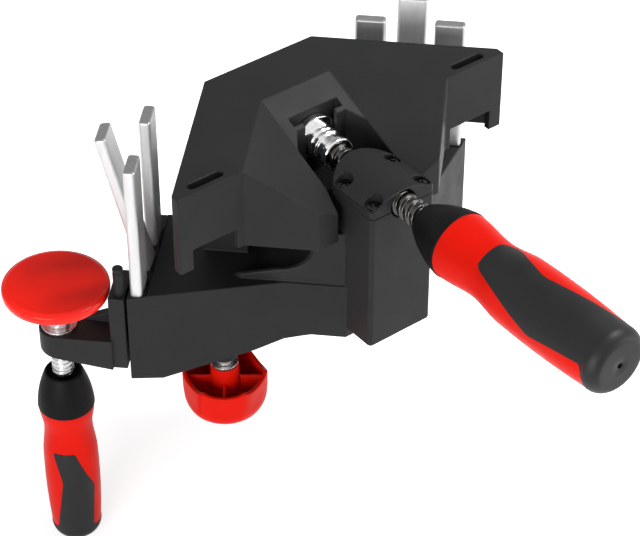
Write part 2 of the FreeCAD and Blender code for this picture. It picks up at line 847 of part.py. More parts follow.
def base_frame():
    """Block, arms, gussets and rails in one moulding."""
    body = new_body("block")
    pad(body, outline(body, "XY_Plane", block_path()), "block_height")
    left = raised_left()
    raised = left + [mirrored("right_" + s.Name, s) for s in left]
    hollow = rail_hollow()
    solid = join("base_solid", [base_shell(), body] + raised)
    bore = rod_along("block_bore", "spindle_radius + bore_clearance", f"-{BIG}", f"{BIG}")
    nut_pocket = box("nut_pocket", ("-(nut_half + nut_fit)", "nut_half + nut_fit"),
                     ("nut_start - nut_fit", f"{NUT_END} + nut_fit"),
                     ("block_height - nut_depth - nut_fit", "block_height + 1"))
    screw_holes = [rod(f"screw_hole_{i}", "screw_radius", "block_height - screw_length",
                       "block_height + 1", at) for i, at in enumerate(screw_places())]
    tools = [hollow, mirrored("right_rail_hollow", hollow), bore, nut_pocket]
    return keep(cut("base", solid, tools + screw_holes + pins() + track_cutters()), "base_frame")


# Cover, screws and nut

COVER_TOP = "(block_height + cover_crown)"
SCREW_SEAT = "(block_height + screw_seat)"


def spindle_cover():
    """Cap over the nut: the block's plan under a gentle crown."""
    body = new_body("cover_plate")
    pad(body, outline(body, "XY_Plane", block_path(), lift="block_height + cover_gap"), "cover_crown")
    edge = "(block_height + cover_edge)"
    rise = "(cover_crown - cover_edge)"
    arch = f"(cover_crown_half ^ 2 + {rise} ^ 2) / (2 * {rise})"
    over = [
        ("cover_crown_half", edge),
        ("2 * block_half", edge),
        ("2 * block_half", f"{COVER_TOP} + 1"),
        ("-2 * block_half", f"{COVER_TOP} + 1"),
        ("-2 * block_half", edge),
        ("-cover_crown_half", edge),
    ]
    over[0] += (f"-({arch})",)
    pocket(body, outline(body, "XZ_Plane", over), BIG, both_ways=True)
    bore = rod_along("cover_bore", "spindle_radius + bore_clearance", f"-{BIG}", f"{BIG}")
    crown = rod_along("nut_crown_space", "nut_crown_radius + nut_fit", "nut_start - nut_fit",
                      f"{NUT_END} + nut_fit")
    recesses = []
    for i, at in enumerate(screw_places()):
        recesses.append(rod(f"cover_recess_{i}", "screw_recess_radius", SCREW_SEAT, f"{COVER_TOP} + 1", at))
        recesses.append(rod(f"cover_hole_{i}", "screw_radius", "block_height - 1", COVER_TOP, at))
    return keep(cut("cover", body, [bore, crown] + recesses), "spindle_cover")


def cover_screws():
    """Four pan head screws with a cross in the head."""
    made = []
    top = f"({SCREW_SEAT} + screw_head_height)"
    arm, width = "cross_reach", "cross_width / 2"
    for i, (x, y) in enumerate(screw_places()):
        screw = join(f"screw_blank_{i}", [
            rod(f"screw_shank_{i}", "screw_radius", "block_height - screw_length", SCREW_SEAT, (x, y)),
            rod(f"screw_head_{i}", "screw_head_radius", SCREW_SEAT, top, (x, y)),
        ])
        cross = [
            box(f"cross_{turn}_{i}", (f"{x} - {a}", f"{x} + {a}"), (f"{y} - {b}", f"{y} + {b}"),
                (f"{top} - cross_depth", f"{top} + 1"))
            for turn, a, b in (("x", arm, width), ("y", width, arm))
        ]
        made.append(cut(f"screw_{i}", screw, cross))
    group = doc.addObject("Part::Compound", "screws")
    group.Links = made
    return keep(group, "cover_screws")


def spindle_nut():
    """Threaded block in the base, round on top."""
    low = "block_height - nut_depth"
    blank = join("nut_blank", [
        box("nut_block", ("-nut_half", "nut_half"), ("nut_start", NUT_END), (low, "block_height")),
        rod_along("nut_round", "nut_crown_radius", "nut_start", NUT_END),
    ])
    thread = rod_along("nut_thread", "spindle_radius + spindle_play", f"-{BIG}", f"{BIG}")
    return keep(cut("nut", blank, [thread]), "spindle_nut")


# Main spindle with its thrust head

FLANGE_FRONT = "(ear_front + ear_thickness + head_play)"
FLANGE_BACK = f"({TEE_BACK} - head_play)"
SPIGOT_END = f"({FLANGE_BACK} - 1)"
SPIGOT_START = "(head_front + head_recess_depth)"
HEAD_PIN_AT = "head_front + head_pin_at"


def main_spindle():
    """Threaded rod with a spigot in the head and a tang in the handle."""
    profile = [
        ("main_handle_front - main_tang_length", "0"),
        ("main_handle_front - main_tang_length", "main_tang_radius"),
        ("main_handle_front", "main_tang_radius"),
        ("main_handle_front", "spindle_radius"),
        (SPIGOT_START, "spindle_radius"),
        (SPIGOT_START, "spigot_radius"),
        (SPIGOT_END, "spigot_radius"),
        (SPIGOT_END, "0"),
    ]
    blank = turned("main_rod", profile, "YZ_Plane", "H_Axis", at=("0", "0", "axis_height"))
    hole = rod("spindle_pin_hole", "head_pin_radius", "axis_height - 2 * spindle_radius",
               "axis_height + 2 * spindle_radius", ("0", HEAD_PIN_AT))
    return keep(cut("main_spindle_solid", blank, [hole]), "main_spindle")


def thrust_head():
    """Ringed head that turns in the wedge's T slot and pushes or pulls it, and its cross pin."""
    collar_end = "(head_front + head_collar_length)"
    ring = "(head_front + head_ring_at)"
    groove = "(head_front + head_groove_at)"
    profile = [
        ("head_front", "head_recess_radius"),
        ("head_front", "head_collar_radius - head_chamfer"),
        ("head_front + head_chamfer", "head_collar_radius"),
        (collar_end, "head_collar_radius"),
        (f"{collar_end} + head_chamfer", "head_waist_radius"),
        (f"{ring} - head_chamfer", "head_waist_radius"),
        (ring, "head_ring_radius"),
        (f"{groove} - head_chamfer", "head_ring_radius"),
        (groove, "head_groove_radius"),
        (f"{groove} + head_groove_length", "head_groove_radius"),
        (f"{groove} + head_groove_length + head_chamfer", "head_neck_radius"),
        (FLANGE_FRONT, "head_neck_radius"),
        (FLANGE_FRONT, "head_flange_radius"),
        (FLANGE_BACK, "head_flange_radius"),
        (FLANGE_BACK, "0"),
        (SPIGOT_END, "0"),
        (SPIGOT_END, "spigot_radius"),
        (SPIGOT_START, "spigot_radius"),
        (SPIGOT_START, "head_recess_radius"),
    ]
    blank = turned("head_blank", profile, "YZ_Plane", "H_Axis", at=("0", "0", "axis_height"))
    hole = rod("head_pin_hole", "head_pin_radius", "axis_height - 2 * spindle_radius",
               "axis_height + 2 * spindle_radius", ("0", HEAD_PIN_AT))
    keep(cut("head", blank, [hole]), "thrust_head")
    reach = "(head_waist_radius - head_pin_short)"
    keep(rod("head_cross_pin", "head_pin_radius", f"axis_height - {reach}",
             f"axis_height + {reach}", ("0", HEAD_PIN_AT)), "head_pin")


# Handles: a soft collar, a hard core and a soft inlay that runs into the end cap

def wave(r_start, at_start, r_end, at_end, less, convex_first):
    """Two equal arcs between two places where the handle runs parallel to its axis."""
    length = f"({at_end} - {at_start})"
    rise = f"abs({r_end} - {r_start})"
    radius = f"(({length} ^ 2 + {rise} ^ 2) / (4 * {rise}))"
    first, second = ("-1 * ", "") if convex_first else ("", "-1 * ")
    return [
        (f"({r_start} + {r_end}) / 2 - {less}", f"-({at_start} + {at_end}) / 2", first + radius),
        (f"{r_end} - {less}", f"-{at_end}", second + radius),
    ]


def handle_profile(kind, less, whole):
    """Half profile of a handle, with its front at zero and its end downwards."""
    collar, waist, bulge = (f"{kind}_{word}" for word in ("collar", "waist", "bulge"))
    path = [
        (f"{kind}_front_radius - {less}", "0"),
        (f"{collar}_radius - {less}", f"-{collar}_at", f"-{collar}_curve"),
        *wave(f"{collar}_radius", f"{collar}_at", f"{waist}_radius", f"{waist}_at", less, True),
        *wave(f"{waist}_radius", f"{waist}_at", f"{bulge}_radius", f"{bulge}_at", less, False),
        (f"{kind}_cap_radius - {less}", f"-{kind}_cap_at", f"-4 * {kind}_length"),
    ]
    if not whole:
        return path + [("0", f"-{kind}_cap_at"), ("0", "0")]
    hole_top = f"-({kind}_length - hole_depth)"
    return path + [
        (f"{kind}_end_radius", f"-{kind}_length", f"-{kind}_end_curve"),
        (f"{kind}_hole_radius", f"-{kind}_length"),
        (f"{kind}_hole_radius", hole_top),
        ("0", hole_top),
        ("0", f"-{kind}_tang_length"),
        (f"{kind}_tang_radius", f"-{kind}_tang_length"),
        (f"{kind}_tang_radius", "0"),
    ]


def handle(kind, at, rotation):
    """Collar, grip and inlay of one handle, all round one tang."""
    whole = turned(f"{kind}_handle", handle_profile(kind, "0", True), at=at, rotation=rotation)
    inside = turned(f"{kind}_inside", handle_profile(kind, "inlay_depth", False), at=at,
                    rotation=rotation)
    down = rotation.multVec(FreeCAD.Vector(0, 0, -1))
    front_at = [f"{text} + {shift:.0f} * {kind}_collar_length" for text, shift in zip(at, down)]
    front = place(doc.addObject("Part::Cylinder", f"{kind}_front"), front_at, rotation)
    bind(front, "Radius", f"2 * {kind}_bulge_radius")
    bind(front, "Height", f"{kind}_collar_length")
    keep(common(f"{kind}_collar_solid", whole, front), f"{kind}_collar")
    rear = cut(f"{kind}_rear", whole, [front])
    zone = new_body(f"{kind}_panel", at, rotation * turn_about(Z_AXIS, number(f"{kind}_panel_angle")))
    pad(zone, outline(zone, "XZ_Plane", panel(kind)), f"6 * {kind}_bulge_radius", both_ways=True)
    skin = cut(f"{kind}_skin", rear, [inside])
    inlay = keep(common(f"{kind}_inlay_solid", skin, zone), f"{kind}_inlay")
    keep(cut(f"{kind}_core", rear, [inlay]), f"{kind}_grip")


def panel(kind):
    """Outline of a handle's inlay: two rows of corners that run into the whole end cap."""
    rows = {row: [(f"{kind}_{row}{i}_x", f"-{kind}_{row}{i}_at") for i in range(len(corners))]
            for row, corners in INLAYS[kind].items()}
    cap, far = f"-{kind}_cap_at", f"-({kind}_length + 1)"
    wide = f"2 * {kind}_bulge_radius"
    end = [(f"-{wide}", cap), (f"-{wide}", far), (wide, far), (wide, cap)]
    return rows["near"] + end + rows["far"]


def main_handle():
    """Big handle on the main spindle."""
    handle("main", ("0", "main_handle_front", "axis_height"), turn_about(X_AXIS, -90))


def small_handle():
    """Small handle under the pressure pad's spindle."""
    handle("small", (*PAD_AT, "small_handle_top"), FreeCAD.Rotation())


# Support arm

RISER_IN = f"({EDGE_OUT} + riser_gap)"
RISER_OUT = f"({RISER_IN} + riser_thickness)"
STUD_AT = arm_point("track_at", "stud_out")
PAD_AT = arm_point("lug_at", "lug_out")
POST_AT = arm_point("post_at", f"({RISER_IN} + post_radius + post_inset)")


def support_arm():
    """Sliding arm: a tongue in the base, a riser outside it and the lug for the pad."""
    tongue = arm_box("tongue", ("track_at - tongue_half", "track_at + tongue_half"),
                     ("tongue_inner", f"{RISER_IN} + 1"), ("tongue_bottom", "tongue_top"))
    riser = arm_box("riser", ("riser_front", "riser_step"), (RISER_IN, RISER_OUT),
                    ("tongue_bottom", "seat_height"))
    low_riser = arm_box("low_riser", ("riser_step - 1", "riser_back"), (RISER_IN, RISER_OUT),
                        ("tongue_bottom", "riser_low"))
    lug = arm_prism("lug", [
        ("lug_at + lug_radius", f"{RISER_OUT} - 1"),
        ("lug_at + lug_radius", "lug_out"),
        ("lug_at - lug_radius", "lug_out", "lug_radius"),
        ("lug_at - lug_radius", f"{RISER_OUT} - 1"),
    ], "tongue_bottom", "lug_top")
    web = new_body("lug_web", rotation=turn_about(Z_AXIS, ARM_TURN))
    side = [
        (f"{RISER_OUT} - 1", "lug_top - 1"),
        (f"{RISER_OUT} + lug_web_run", "lug_top - 1"),
        (f"{RISER_OUT} + lug_web_run", "lug_top"),
        (RISER_OUT, "lug_web_top"),
        (f"{RISER_OUT} - 1", "lug_web_top"),
    ]
    pad(web, outline(web, "YZ_Plane", side, lift="lug_at + lug_radius - lug_web_thickness"),
        "lug_web_thickness")
    boss = rod("stud_boss", "stud_boss_radius", "stud_boss_bottom", "tongue_top - 1", STUD_AT)
    under = new_body("lug_under", rotation=turn_about(Z_AXIS, ARM_TURN))
    slope = [
        (RISER_OUT, "tongue_bottom"),
        (RISER_OUT, "2 * tongue_bottom"),
        ("lug_out + lug_radius", "2 * tongue_bottom"),
        ("lug_out + lug_radius", "lug_nose"),
    ]
    pad(under, outline(under, "YZ_Plane", slope), BIG, both_ways=True)
    blank = join("support_blank", [tongue, riser, low_riser, cut("lug_cut", lug, [under]), web, boss])
    stud_hole = rod("stud_hole", "stud_radius", "stud_boss_bottom - 1", "tongue_top + 1", STUD_AT)
    bush_hole = rod("bush_hole", "bush_radius", "tongue_bottom - 1", "lug_top + 1", PAD_AT)
    post_hole = rod("post_hole", "post_foot_radius", "seat_height - post_foot", "seat_height + 1",
                    POST_AT)
    keep(cut("support", blank, [stud_hole, bush_hole, post_hole]), "support_arm")


def stop_post():
    """Small upright post with a ring round its cap."""
    radius, top = "post_radius", "post_height"
    neck = "(post_radius - post_groove)"
    profile = [
        ("0", "-post_foot"),
        ("post_foot_radius", "-post_foot"),
        ("post_foot_radius", "0"),
        (radius, "0"),
        (radius, f"{top} - post_groove_low"),
        (neck, f"{top} - post_groove_low + post_groove_bevel"),
        (neck, f"{top} - post_groove_high - post_groove_bevel"),
        (radius, f"{top} - post_groove_high"),
        (radius, f"{top} - post_round"),
        (f"{radius} - post_round", top, "post_round"),
        ("0", top),
    ]
    keep(turned("post", profile, at=(*POST_AT, "seat_height")), "stop_post")


def arm_bush():
    """Threaded bush of the pad spindle, with a flange on the lug."""
    blank = join("bush_blank", [
        rod("bush_barrel", "bush_radius", "bush_bottom", "lug_top", PAD_AT),
        rod("bush_collar", "bush_flange", "lug_top", "lug_top + bush_flange_thickness", PAD_AT),
    ])
    thread = rod("bush_thread", "pad_spindle_radius + spindle_play", "2 * tongue_bottom",
                 "seat_height", PAD_AT)
    keep(cut("bush", blank, [thread]), "arm_bush")


def clamp_stud():
    """Round head bolt that hangs in the base's slot and clamps the arm."""
    low = "(stud_seat + stud_head_play)"
    shank_end = "(knob_top - stud_below_hub)"
    profile = [
        ("0", shank_end),
        ("stud_radius - stud_chamfer", shank_end),
        ("stud_radius", f"{shank_end} + stud_chamfer"),
        ("stud_radius", low),
        ("stud_head_radius", low),
        ("stud_head_radius", f"{low} + stud_head_height - stud_head_round"),
        ("stud_head_radius - stud_head_round", f"{low} + stud_head_height", "stud_head_round"),
        ("0", f"{low} + stud_head_height"),
    ]
    keep(turned("stud", profile, at=(*STUD_AT, "0")), "clamp_stud")


# Clamping knob

KNOB_RIM = "(knob_top - knob_rim_drop)"
KNOB_BOTTOM = "(knob_top - knob_height)"
INSERT_BOTTOM = "(knob_top - insert_length)"


def knob_turned(degrees=0):
    """Rotation of the knob's features about the stud."""
    return turn_about(Z_AXIS, number("knob_turn") + degrees)


def six_flats(name, across, high):
    """Six sided prism round the stud, up to a height."""
    thing = place(doc.addObject("Part::Prism", name), (*STUD_AT, KNOB_BOTTOM), knob_turned())
    thing.Polygon = 6
    bind(thing, "Circumradius", f"({across}) / cos(30)")
    bind(thing, "Height", f"({high}) - {KNOB_BOTTOM}")
    return thing


def scallops():
    """Six lying cylinders that lower the rim in the middle of each flat."""
    made = []
    for i in range(6):
        lying = knob_turned(30 + 60 * i) * turn_about(FreeCAD.Vector(0, 1, 0), 90)
        thing = place(doc.addObject("Part::Cylinder", f"scallop_{i}"),
                      (*STUD_AT, f"{KNOB_RIM} - knob_scallop + knob_scallop_radius"), lying)
        bind(thing, "Radius", "knob_scallop_radius")
        bind(thing, "Height", "2 * knob_radius")
        made.append(thing)
    return made


def bowl(name, inset, top):
    """Turned bowl with a rounded foot, inset by a wall."""
    curve = "knob_bottom_radius"
    return turned(name, [
        ("0", f"{KNOB_BOTTOM} + {inset}"),
        (f"knob_radius - {curve}", f"{KNOB_BOTTOM} + {inset}"),
        (f"knob_radius - {inset}", f"{KNOB_BOTTOM} + {curve}", f"{curve} - {inset}"),
        (f"knob_radius - {inset}", top),
        ("0", top),
    ], at=(*STUD_AT, "0"))


def clamp_knob():
    """Cup with a hub, cross ribs and six flats, open at the top."""
    blank = bowl("knob_blank", "0", KNOB_RIM)
    whole = common("knob_whole", blank, six_flats("knob_flats", "knob_flat", KNOB_RIM))
    outer = cut("knob_outer", whole, scallops())
    space = common("knob_space", bowl("knob_hollow", "knob_wall", f"{KNOB_RIM} + 1"),
                   six_flats("knob_inner_flats", "knob_flat - knob_wall", f"{KNOB_RIM} + 1"))
    reach, half = "(knob_flat - knob_wall / 2)", "(knob_rib / 2)"
    ribs = []
    for i, (a, b) in enumerate(((reach, half), (half, reach))):
        path = [(f"-{a}", f"-{b}"), (a, f"-{b}"), (a, b), (f"-{a}", b)]
        ribs.append(prism(f"knob_rib_{i}", "XY_Plane", path, f"{KNOB_BOTTOM} + 1",
                          f"{KNOB_RIM} - knob_rib_drop", at=(*STUD_AT, "0"), rotation=knob_turned()))
    cross = join("knob_cross", ribs)
    hub = rod("knob_hub", "knob_hub_radius", f"{KNOB_BOTTOM} + 1", "knob_top", STUD_AT)
    cup = join("knob_cup", [cut("knob_shell", outer, [space]), hub, common("knob_webs", cross, outer)])
    seat = rod("insert_seat", "insert_radius", INSERT_BOTTOM, "knob_top + 1", STUD_AT)
    tip_room = rod("stud_room", "stud_radius + stud_end_gap",
                   "knob_top - stud_below_hub - knob_lift - stud_end_gap", "knob_top", STUD_AT)
    keep(cut("knob", cup, [seat, tip_room]), "clamp_knob")


def knob_insert():
    """Threaded steel insert in the knob's hub."""
    blank = rod("insert_blank", "insert_radius", INSERT_BOTTOM, "knob_top", STUD_AT)
    thread = rod("insert_thread", "stud_radius + spindle_play", "2 * skirt_end", "0", STUD_AT)
    keep(cut("insert", blank, [thread]), "knob_insert")


def clamp_washer():
    """Washer on the hub."""
    low = "(knob_top + washer_play)"
    blank = rod("washer_blank", "washer_radius", low, f"{low} + washer_thickness", STUD_AT)
    hole = rod("washer_hole", "stud_radius + stud_play", "2 * skirt_end", "0", STUD_AT)
    keep(cut("washer", blank, [hole]), "clamp_washer")


# Pressure pad and its spindle

def pressure_pad():
    """Round pad with a soft edge and a ball socket below."""
    rim = "(pad_top - pad_dome)"
    low = "(pad_top - pad_thickness)"
    neck = f"({low} - pad_neck_depth)"
    space = "(ball_radius + ball_play)"
    drop = f"sqrt({space} ^ 2 - socket_mouth ^ 2)"
    profile = [
        ("pad_flat_radius", "pad_top"),
        ("0", "pad_top"),
        ("0", f"ball_height + {space}"),
        ("socket_mouth", f"ball_height - {drop}", f"-{space}"),
        ("socket_mouth + socket_flare", neck),
        ("pad_neck_radius", f"{neck} + pad_neck_slope"),
        ("pad_neck_radius", low),
        ("pad_radius - pad_edge", low),
        ("pad_radius", f"{low} + pad_edge", "pad_edge"),
        ("pad_radius", f"{rim} - pad_edge"),
        ("pad_radius - pad_edge", rim, "pad_edge"),
    ]
    keep(turned("pad", profile, at=(*PAD_AT, "0")), "pressure_pad")


def pad_spindle():
    """Threaded spindle with a ball at its top and a tang in the small handle."""
    shoulder = "(ring_top - ring_thickness - washer_play)"
    tang_end = "small_handle_top - small_tang_length"
    profile = [
        ("0", tang_end),
        ("small_tang_radius", tang_end),
        ("small_tang_radius", "small_handle_top"),
        ("pad_spindle_radius", "small_handle_top"),
        ("pad_spindle_radius", shoulder),
        ("ball_neck", shoulder),
        ("ball_neck", "ball_height - sqrt(ball_radius ^ 2 - ball_neck ^ 2)"),
        ("0", "ball_height + ball_radius", "ball_radius"),
    ]
    keep(turned("pad_rod", profile, at=(*PAD_AT, "0")), "pad_spindle")


def pad_ring():
    """Thrust ring between the spindle's shoulder and the pad."""
    blank = rod("ring_blank", "ring_radius", "ring_top - ring_thickness", "ring_top", PAD_AT)
    hole = rod("ring_hole", "ball_neck + ball_play", "0", "seat_height", PAD_AT)
    keep(cut("ring", blank, [hole]), "pad_ring")


for build in (wedge_body, base_frame, spindle_cover, cover_screws, spindle_nut, main_spindle,
              thrust_head, main_handle, support_arm, stop_post, arm_bush, clamp_stud, clamp_knob,
              knob_insert, clamp_washer, pressure_pad, pad_spindle, pad_ring, small_handle):
    build()
doc.recompute()

failed = [thing.Name for thing in doc.Objects if {"Invalid", "Error"} & set(thing.State)]
if failed:
    raise RuntimeError("failed: " + ", ".join(failed))
for node in nodes:
    if node.Shape.isNull() or not node.Shape.isValid() or not node.Shape.Solids:
        raise RuntimeError(f"{node.Label} has no valid solid")
    node.Shape.exportStep(f"parts/{node.Label}.step")
    print(node.Label, len(node.Shape.Solids), round(node.Shape.Volume))
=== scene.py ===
import json
import math

import bmesh
import bpy
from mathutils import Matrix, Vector


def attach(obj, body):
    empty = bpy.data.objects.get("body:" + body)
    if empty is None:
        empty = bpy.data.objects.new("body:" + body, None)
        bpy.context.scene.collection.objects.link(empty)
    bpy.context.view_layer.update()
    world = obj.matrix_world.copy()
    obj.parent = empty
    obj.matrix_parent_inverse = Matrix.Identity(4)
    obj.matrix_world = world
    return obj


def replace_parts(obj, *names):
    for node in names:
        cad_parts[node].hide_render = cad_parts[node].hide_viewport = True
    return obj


# Looks of the door frame clamp. Sizes are written in millimetres and scaled by MM. The origin is at the
# foot of the block, under the big spindle's line. +Z is up, and the big handle points along -Y.

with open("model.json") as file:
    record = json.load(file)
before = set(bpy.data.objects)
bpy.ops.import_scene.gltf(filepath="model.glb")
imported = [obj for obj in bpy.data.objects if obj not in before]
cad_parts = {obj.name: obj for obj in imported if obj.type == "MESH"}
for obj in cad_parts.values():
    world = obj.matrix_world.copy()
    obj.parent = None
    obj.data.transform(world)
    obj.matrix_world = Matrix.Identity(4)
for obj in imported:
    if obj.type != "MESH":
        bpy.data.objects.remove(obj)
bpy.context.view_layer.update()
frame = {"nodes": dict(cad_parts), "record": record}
MM = 0.001
TAU = 2 * math.pi
nodes = frame["nodes"]
scene = bpy.context.scene

# Lines of the solids that the pieces are turned about

SPINDLE_Z = 86
PAD_PLACE = (-139.795, 99.349)
KNOB_PLACE = (-63.993, 54.942)


def mm(*values):
    """Point or size in metres from millimetres."""
    return Vector([v * MM for v in values])


def link(obj):
    """Show an object in the scene."""
    scene.collection.objects.link(obj)
    return obj


def aim(obj, at, target):
    """Place an object and point its -Z at a target."""
    obj.location = at
    obj.rotation_euler = (target - at).to_track_quat("-Z", "Y").to_euler()
    return obj


# Camera, at the photograph's viewing angle

CAMERA_PLACE = (-609.5, -729.8, 800.1)
CAMERA_TARGET = (-84.0, -55.9, 110.0)
CAMERA_LENS = 130
SENSOR_WIDTH = 36
CLIP_NEAR, CLIP_FAR = 50, 20000

camera_data = bpy.data.cameras.new("camera")
camera_data.lens = CAMERA_LENS
camera_data.sensor_width = SENSOR_WIDTH
camera_data.clip_start = CLIP_NEAR * MM
camera_data.clip_end = CLIP_FAR * MM
camera = link(bpy.data.objects.new("camera", camera_data))
aim(camera, mm(*CAMERA_PLACE), mm(*CAMERA_TARGET))
scene.camera = camera
scene.view_settings.view_transform = "Standard"


# Shader nodes. Most of a noise lies between these two values.

NOISE_LOW, NOISE_HIGH = 0.3, 0.7


def math_node(tree, kind, a, b):
    """Result of a calculation with two numbers or outputs."""
    made = tree.nodes.new("ShaderNodeMath")
    made.operation = kind
    for socket, value in zip(made.inputs, (a, b)):
        if isinstance(value, (int, float)):
            socket.default_value = value
        else:
            tree.links.new(value, socket)
    return made.outputs[0]


def map_range(tree, value, start, end, low, high):
    """Output that runs from low to high while a value runs from start to end."""
    made = tree.nodes.new("ShaderNodeMapRange")
    for index, number in enumerate((start, end, low, high), start=1):
        made.inputs[index].default_value = number
    tree.links.new(value, made.inputs["Value"])
    return made.outputs["Result"]


class Maker:
    """Node tree of one procedural material in object coordinates."""

    def __init__(self, name, colour, roughness, metallic=0.0, **sockets):
        self.material = bpy.data.materials.new(name)
        self.material.use_nodes = True
        self.tree = self.material.node_tree
        self.shader = self.tree.nodes["Principled BSDF"]
        self.set(self.shader, **{"Base Color": (*colour, 1), "Roughness": roughness,
                                 "Metallic": metallic})
        self.set(self.shader, **{key.replace("_", " "): value for key, value in sockets.items()})
        self.place = self.node("ShaderNodeTexCoord").outputs["Object"]
        self.colour = colour
        self.normal = None

    @staticmethod
    def set(node, **values):
        """Set inputs of a node by name."""
        for key, value in values.items():
            node.inputs[key].default_value = value

    def node(self, kind, **values):
        """New node with some inputs set."""
        made = self.tree.nodes.new(kind)
        self.set(made, **values)
        return made

    def join(self, output, socket):
        """Link an output to an input."""
        self.tree.links.new(output, socket)

    def noise(self, size, detail=2.0, rough=0.5, stretch=None, seed=0.0):
        """Noise of a feature size in millimetres, stretched along an axis where asked."""
        place = self.place
        if stretch or seed:
            mapping = self.node("ShaderNodeMapping")
            self.set(mapping, Scale=stretch or (1, 1, 1), Location=(seed, seed * 0.7, -seed))
            self.join(place, mapping.inputs["Vector"])
            place = mapping.outputs["Vector"]
        made = self.node("ShaderNodeTexNoise", Scale=1 / (size * MM), Detail=detail, Roughness=rough)
        self.join(place, made.inputs["Vector"])
        return made.outputs["Fac"]

    def spread(self, value, low, high, start=NOISE_LOW, end=NOISE_HIGH):
        """Map a value between two numbers."""
        return map_range(self.tree, value, start, end, low, high)

    def tint(self, value, amount):
        """Vary the base colour by a share, both lighter and darker."""
        ramp = self.node("ShaderNodeValToRGB")
        ramp.color_ramp.elements[0].position = NOISE_LOW
        ramp.color_ramp.elements[1].position = NOISE_HIGH
        for element, share in zip(ramp.color_ramp.elements, (1 - amount, 1 + amount)):
            element.color = (*[min(c * share, 1) for c in self.colour], 1)
        self.join(value, ramp.inputs["Fac"])
        self.join(ramp.outputs["Color"], self.shader.inputs["Base Color"])

    def rough(self, value, low, high):
        """Vary the roughness."""
        self.join(self.spread(value, low, high), self.shader.inputs["Roughness"])

    def bump(self, value, height, strength=1.0):
        """Add a bump of a height in millimetres."""
        made = self.node("ShaderNodeBump", Distance=height * MM, Strength=strength)
        self.join(value, made.inputs["Height"])
        if self.normal:
            self.join(self.normal, made.inputs["Normal"])
        self.normal = made.outputs["Normal"]
        self.join(self.normal, self.shader.inputs["Normal"])


# Materials

def moulded(name, colour, roughness, texture, height, variation=0.08, **sockets):
    """Injection moulded plastic with a fine spark eroded texture and faint flow marks."""
    made = Maker(name, colour, roughness, **sockets)
    made.tint(made.noise(26, detail=4, rough=0.6), variation)
    made.rough(made.noise(14, detail=3, seed=3), roughness - 0.05, roughness + 0.06)
    made.bump(made.noise(texture, detail=2, rough=0.6), height)
    made.bump(made.noise(9, detail=2, seed=7), height=0.03, strength=0.6)
    return made.material


def metal(name, colour, low, high, stretch, scratches):
    """Metal with fine lines along one axis and a roughness that varies from low to high."""
    made = Maker(name, colour, (low + high) / 2, metallic=1.0)
    made.tint(made.noise(7, detail=5, rough=0.65, seed=2), 0.12)
    made.rough(made.noise(2.2, detail=5, rough=0.7, stretch=stretch), low, high)
    made.bump(made.noise(0.35, detail=3, stretch=stretch), scratches)
    return made.material


def pin_metal():
    """Drawn bar: bright faces with lines along the bar, and faces that point up painted a darker grey as
    painted shade.
    """
    # The second pair of tones is painted shade for the tops of the pins.
    drawn_tones, shaded_top_tones = (0.56, 0.8), (0.2, 0.33)
    made = Maker("drawn bar", (0.78, 0.78, 0.78), 0.4, metallic=0.5)
    made.bump(made.noise(0.5, detail=3, stretch=(1, 1, 0.06)), height=0.005)
    made.bump(made.noise(6, detail=3, stretch=(1, 1, 0.25), seed=4), height=0.06)
    made.rough(made.noise(3, detail=4, rough=0.7, stretch=(1, 1, 0.2)), low=0.3, high=0.48)
    split = made.node("ShaderNodeSeparateXYZ")
    made.join(made.node("ShaderNodeTexCoord").outputs["Normal"], split.inputs[0])
    # Faces that point up take the darker tones: painted shade on the tops of the pins.
    top = made.spread(split.outputs["Z"], 0.0, 1.0, start=0.6, end=0.7)
    shaded_top_noise = made.noise(0.8, detail=4, stretch=(1, 0.3, 1), seed=9)
    drawn = made.noise(2.5, detail=4, rough=0.65, stretch=(1, 1, 0.15), seed=6)
    mix = made.node("ShaderNodeMix")
    mix.data_type = "RGBA"
    for value, tones, socket in ((drawn, drawn_tones, "A"), (shaded_top_noise, shaded_top_tones, "B")):
        grey = made.node("ShaderNodeValToRGB")
        for element, tone in zip(grey.color_ramp.elements, tones):
            element.color = (tone, tone, tone, 1)
        made.join(value, grey.inputs["Fac"])
        made.join(grey.outputs["Color"], mix.inputs[socket])
    made.join(top, mix.inputs["Factor"])
    made.join(mix.outputs["Result"], made.shader.inputs["Base Color"])
    return made.material


PAINT = {
    "frame_plastic": moulded("dark grey plastic", (0.0185, 0.0187, 0.0191), roughness=0.45,
                             texture=0.45, height=0.014, Specular_IOR_Level=0.13),
    "red_plastic": moulded("red plastic", (0.68, 0.008, 0.002), roughness=0.36, texture=1.2,
                           height=0.004, variation=0.03, Specular_IOR_Level=0.08),
    "soft_black": moulded("soft black grip", (0.0105, 0.0107, 0.011), roughness=0.46, texture=0.3,
                          height=0.012, Specular_IOR_Level=0.22, Sheen_Weight=0.03,
                          Sheen_Roughness=0.5),
    "zinc_steel": metal("zinc plated steel", (0.66, 0.66, 0.66), low=0.2, high=0.34,
                        stretch=(1, 1, 0.12), scratches=0.0003),
    "bright_steel": metal("bright turned steel", (0.86, 0.86, 0.86), low=0.09, high=0.17,
                          stretch=(0.2, 0.2, 1), scratches=0.001),
    "black_steel": metal("black oxide steel", (0.085, 0.082, 0.079), low=0.14, high=0.28,
                         stretch=(1, 1, 1), scratches=0.0004),
}
PIN_METAL = pin_metal()
# The collars take a darker copy of the soft black. This is partly their own darker tone and partly painted
# shade, set for the small collar, which lies in the shade of the arm and the pad.
COLLAR_BLACK_AND_SHADE = moulded("soft black collar and painted shade", (0.005, 0.0051, 0.0053), roughness=0.5, texture=0.3,
                       height=0.012, Specular_IOR_Level=0.08)
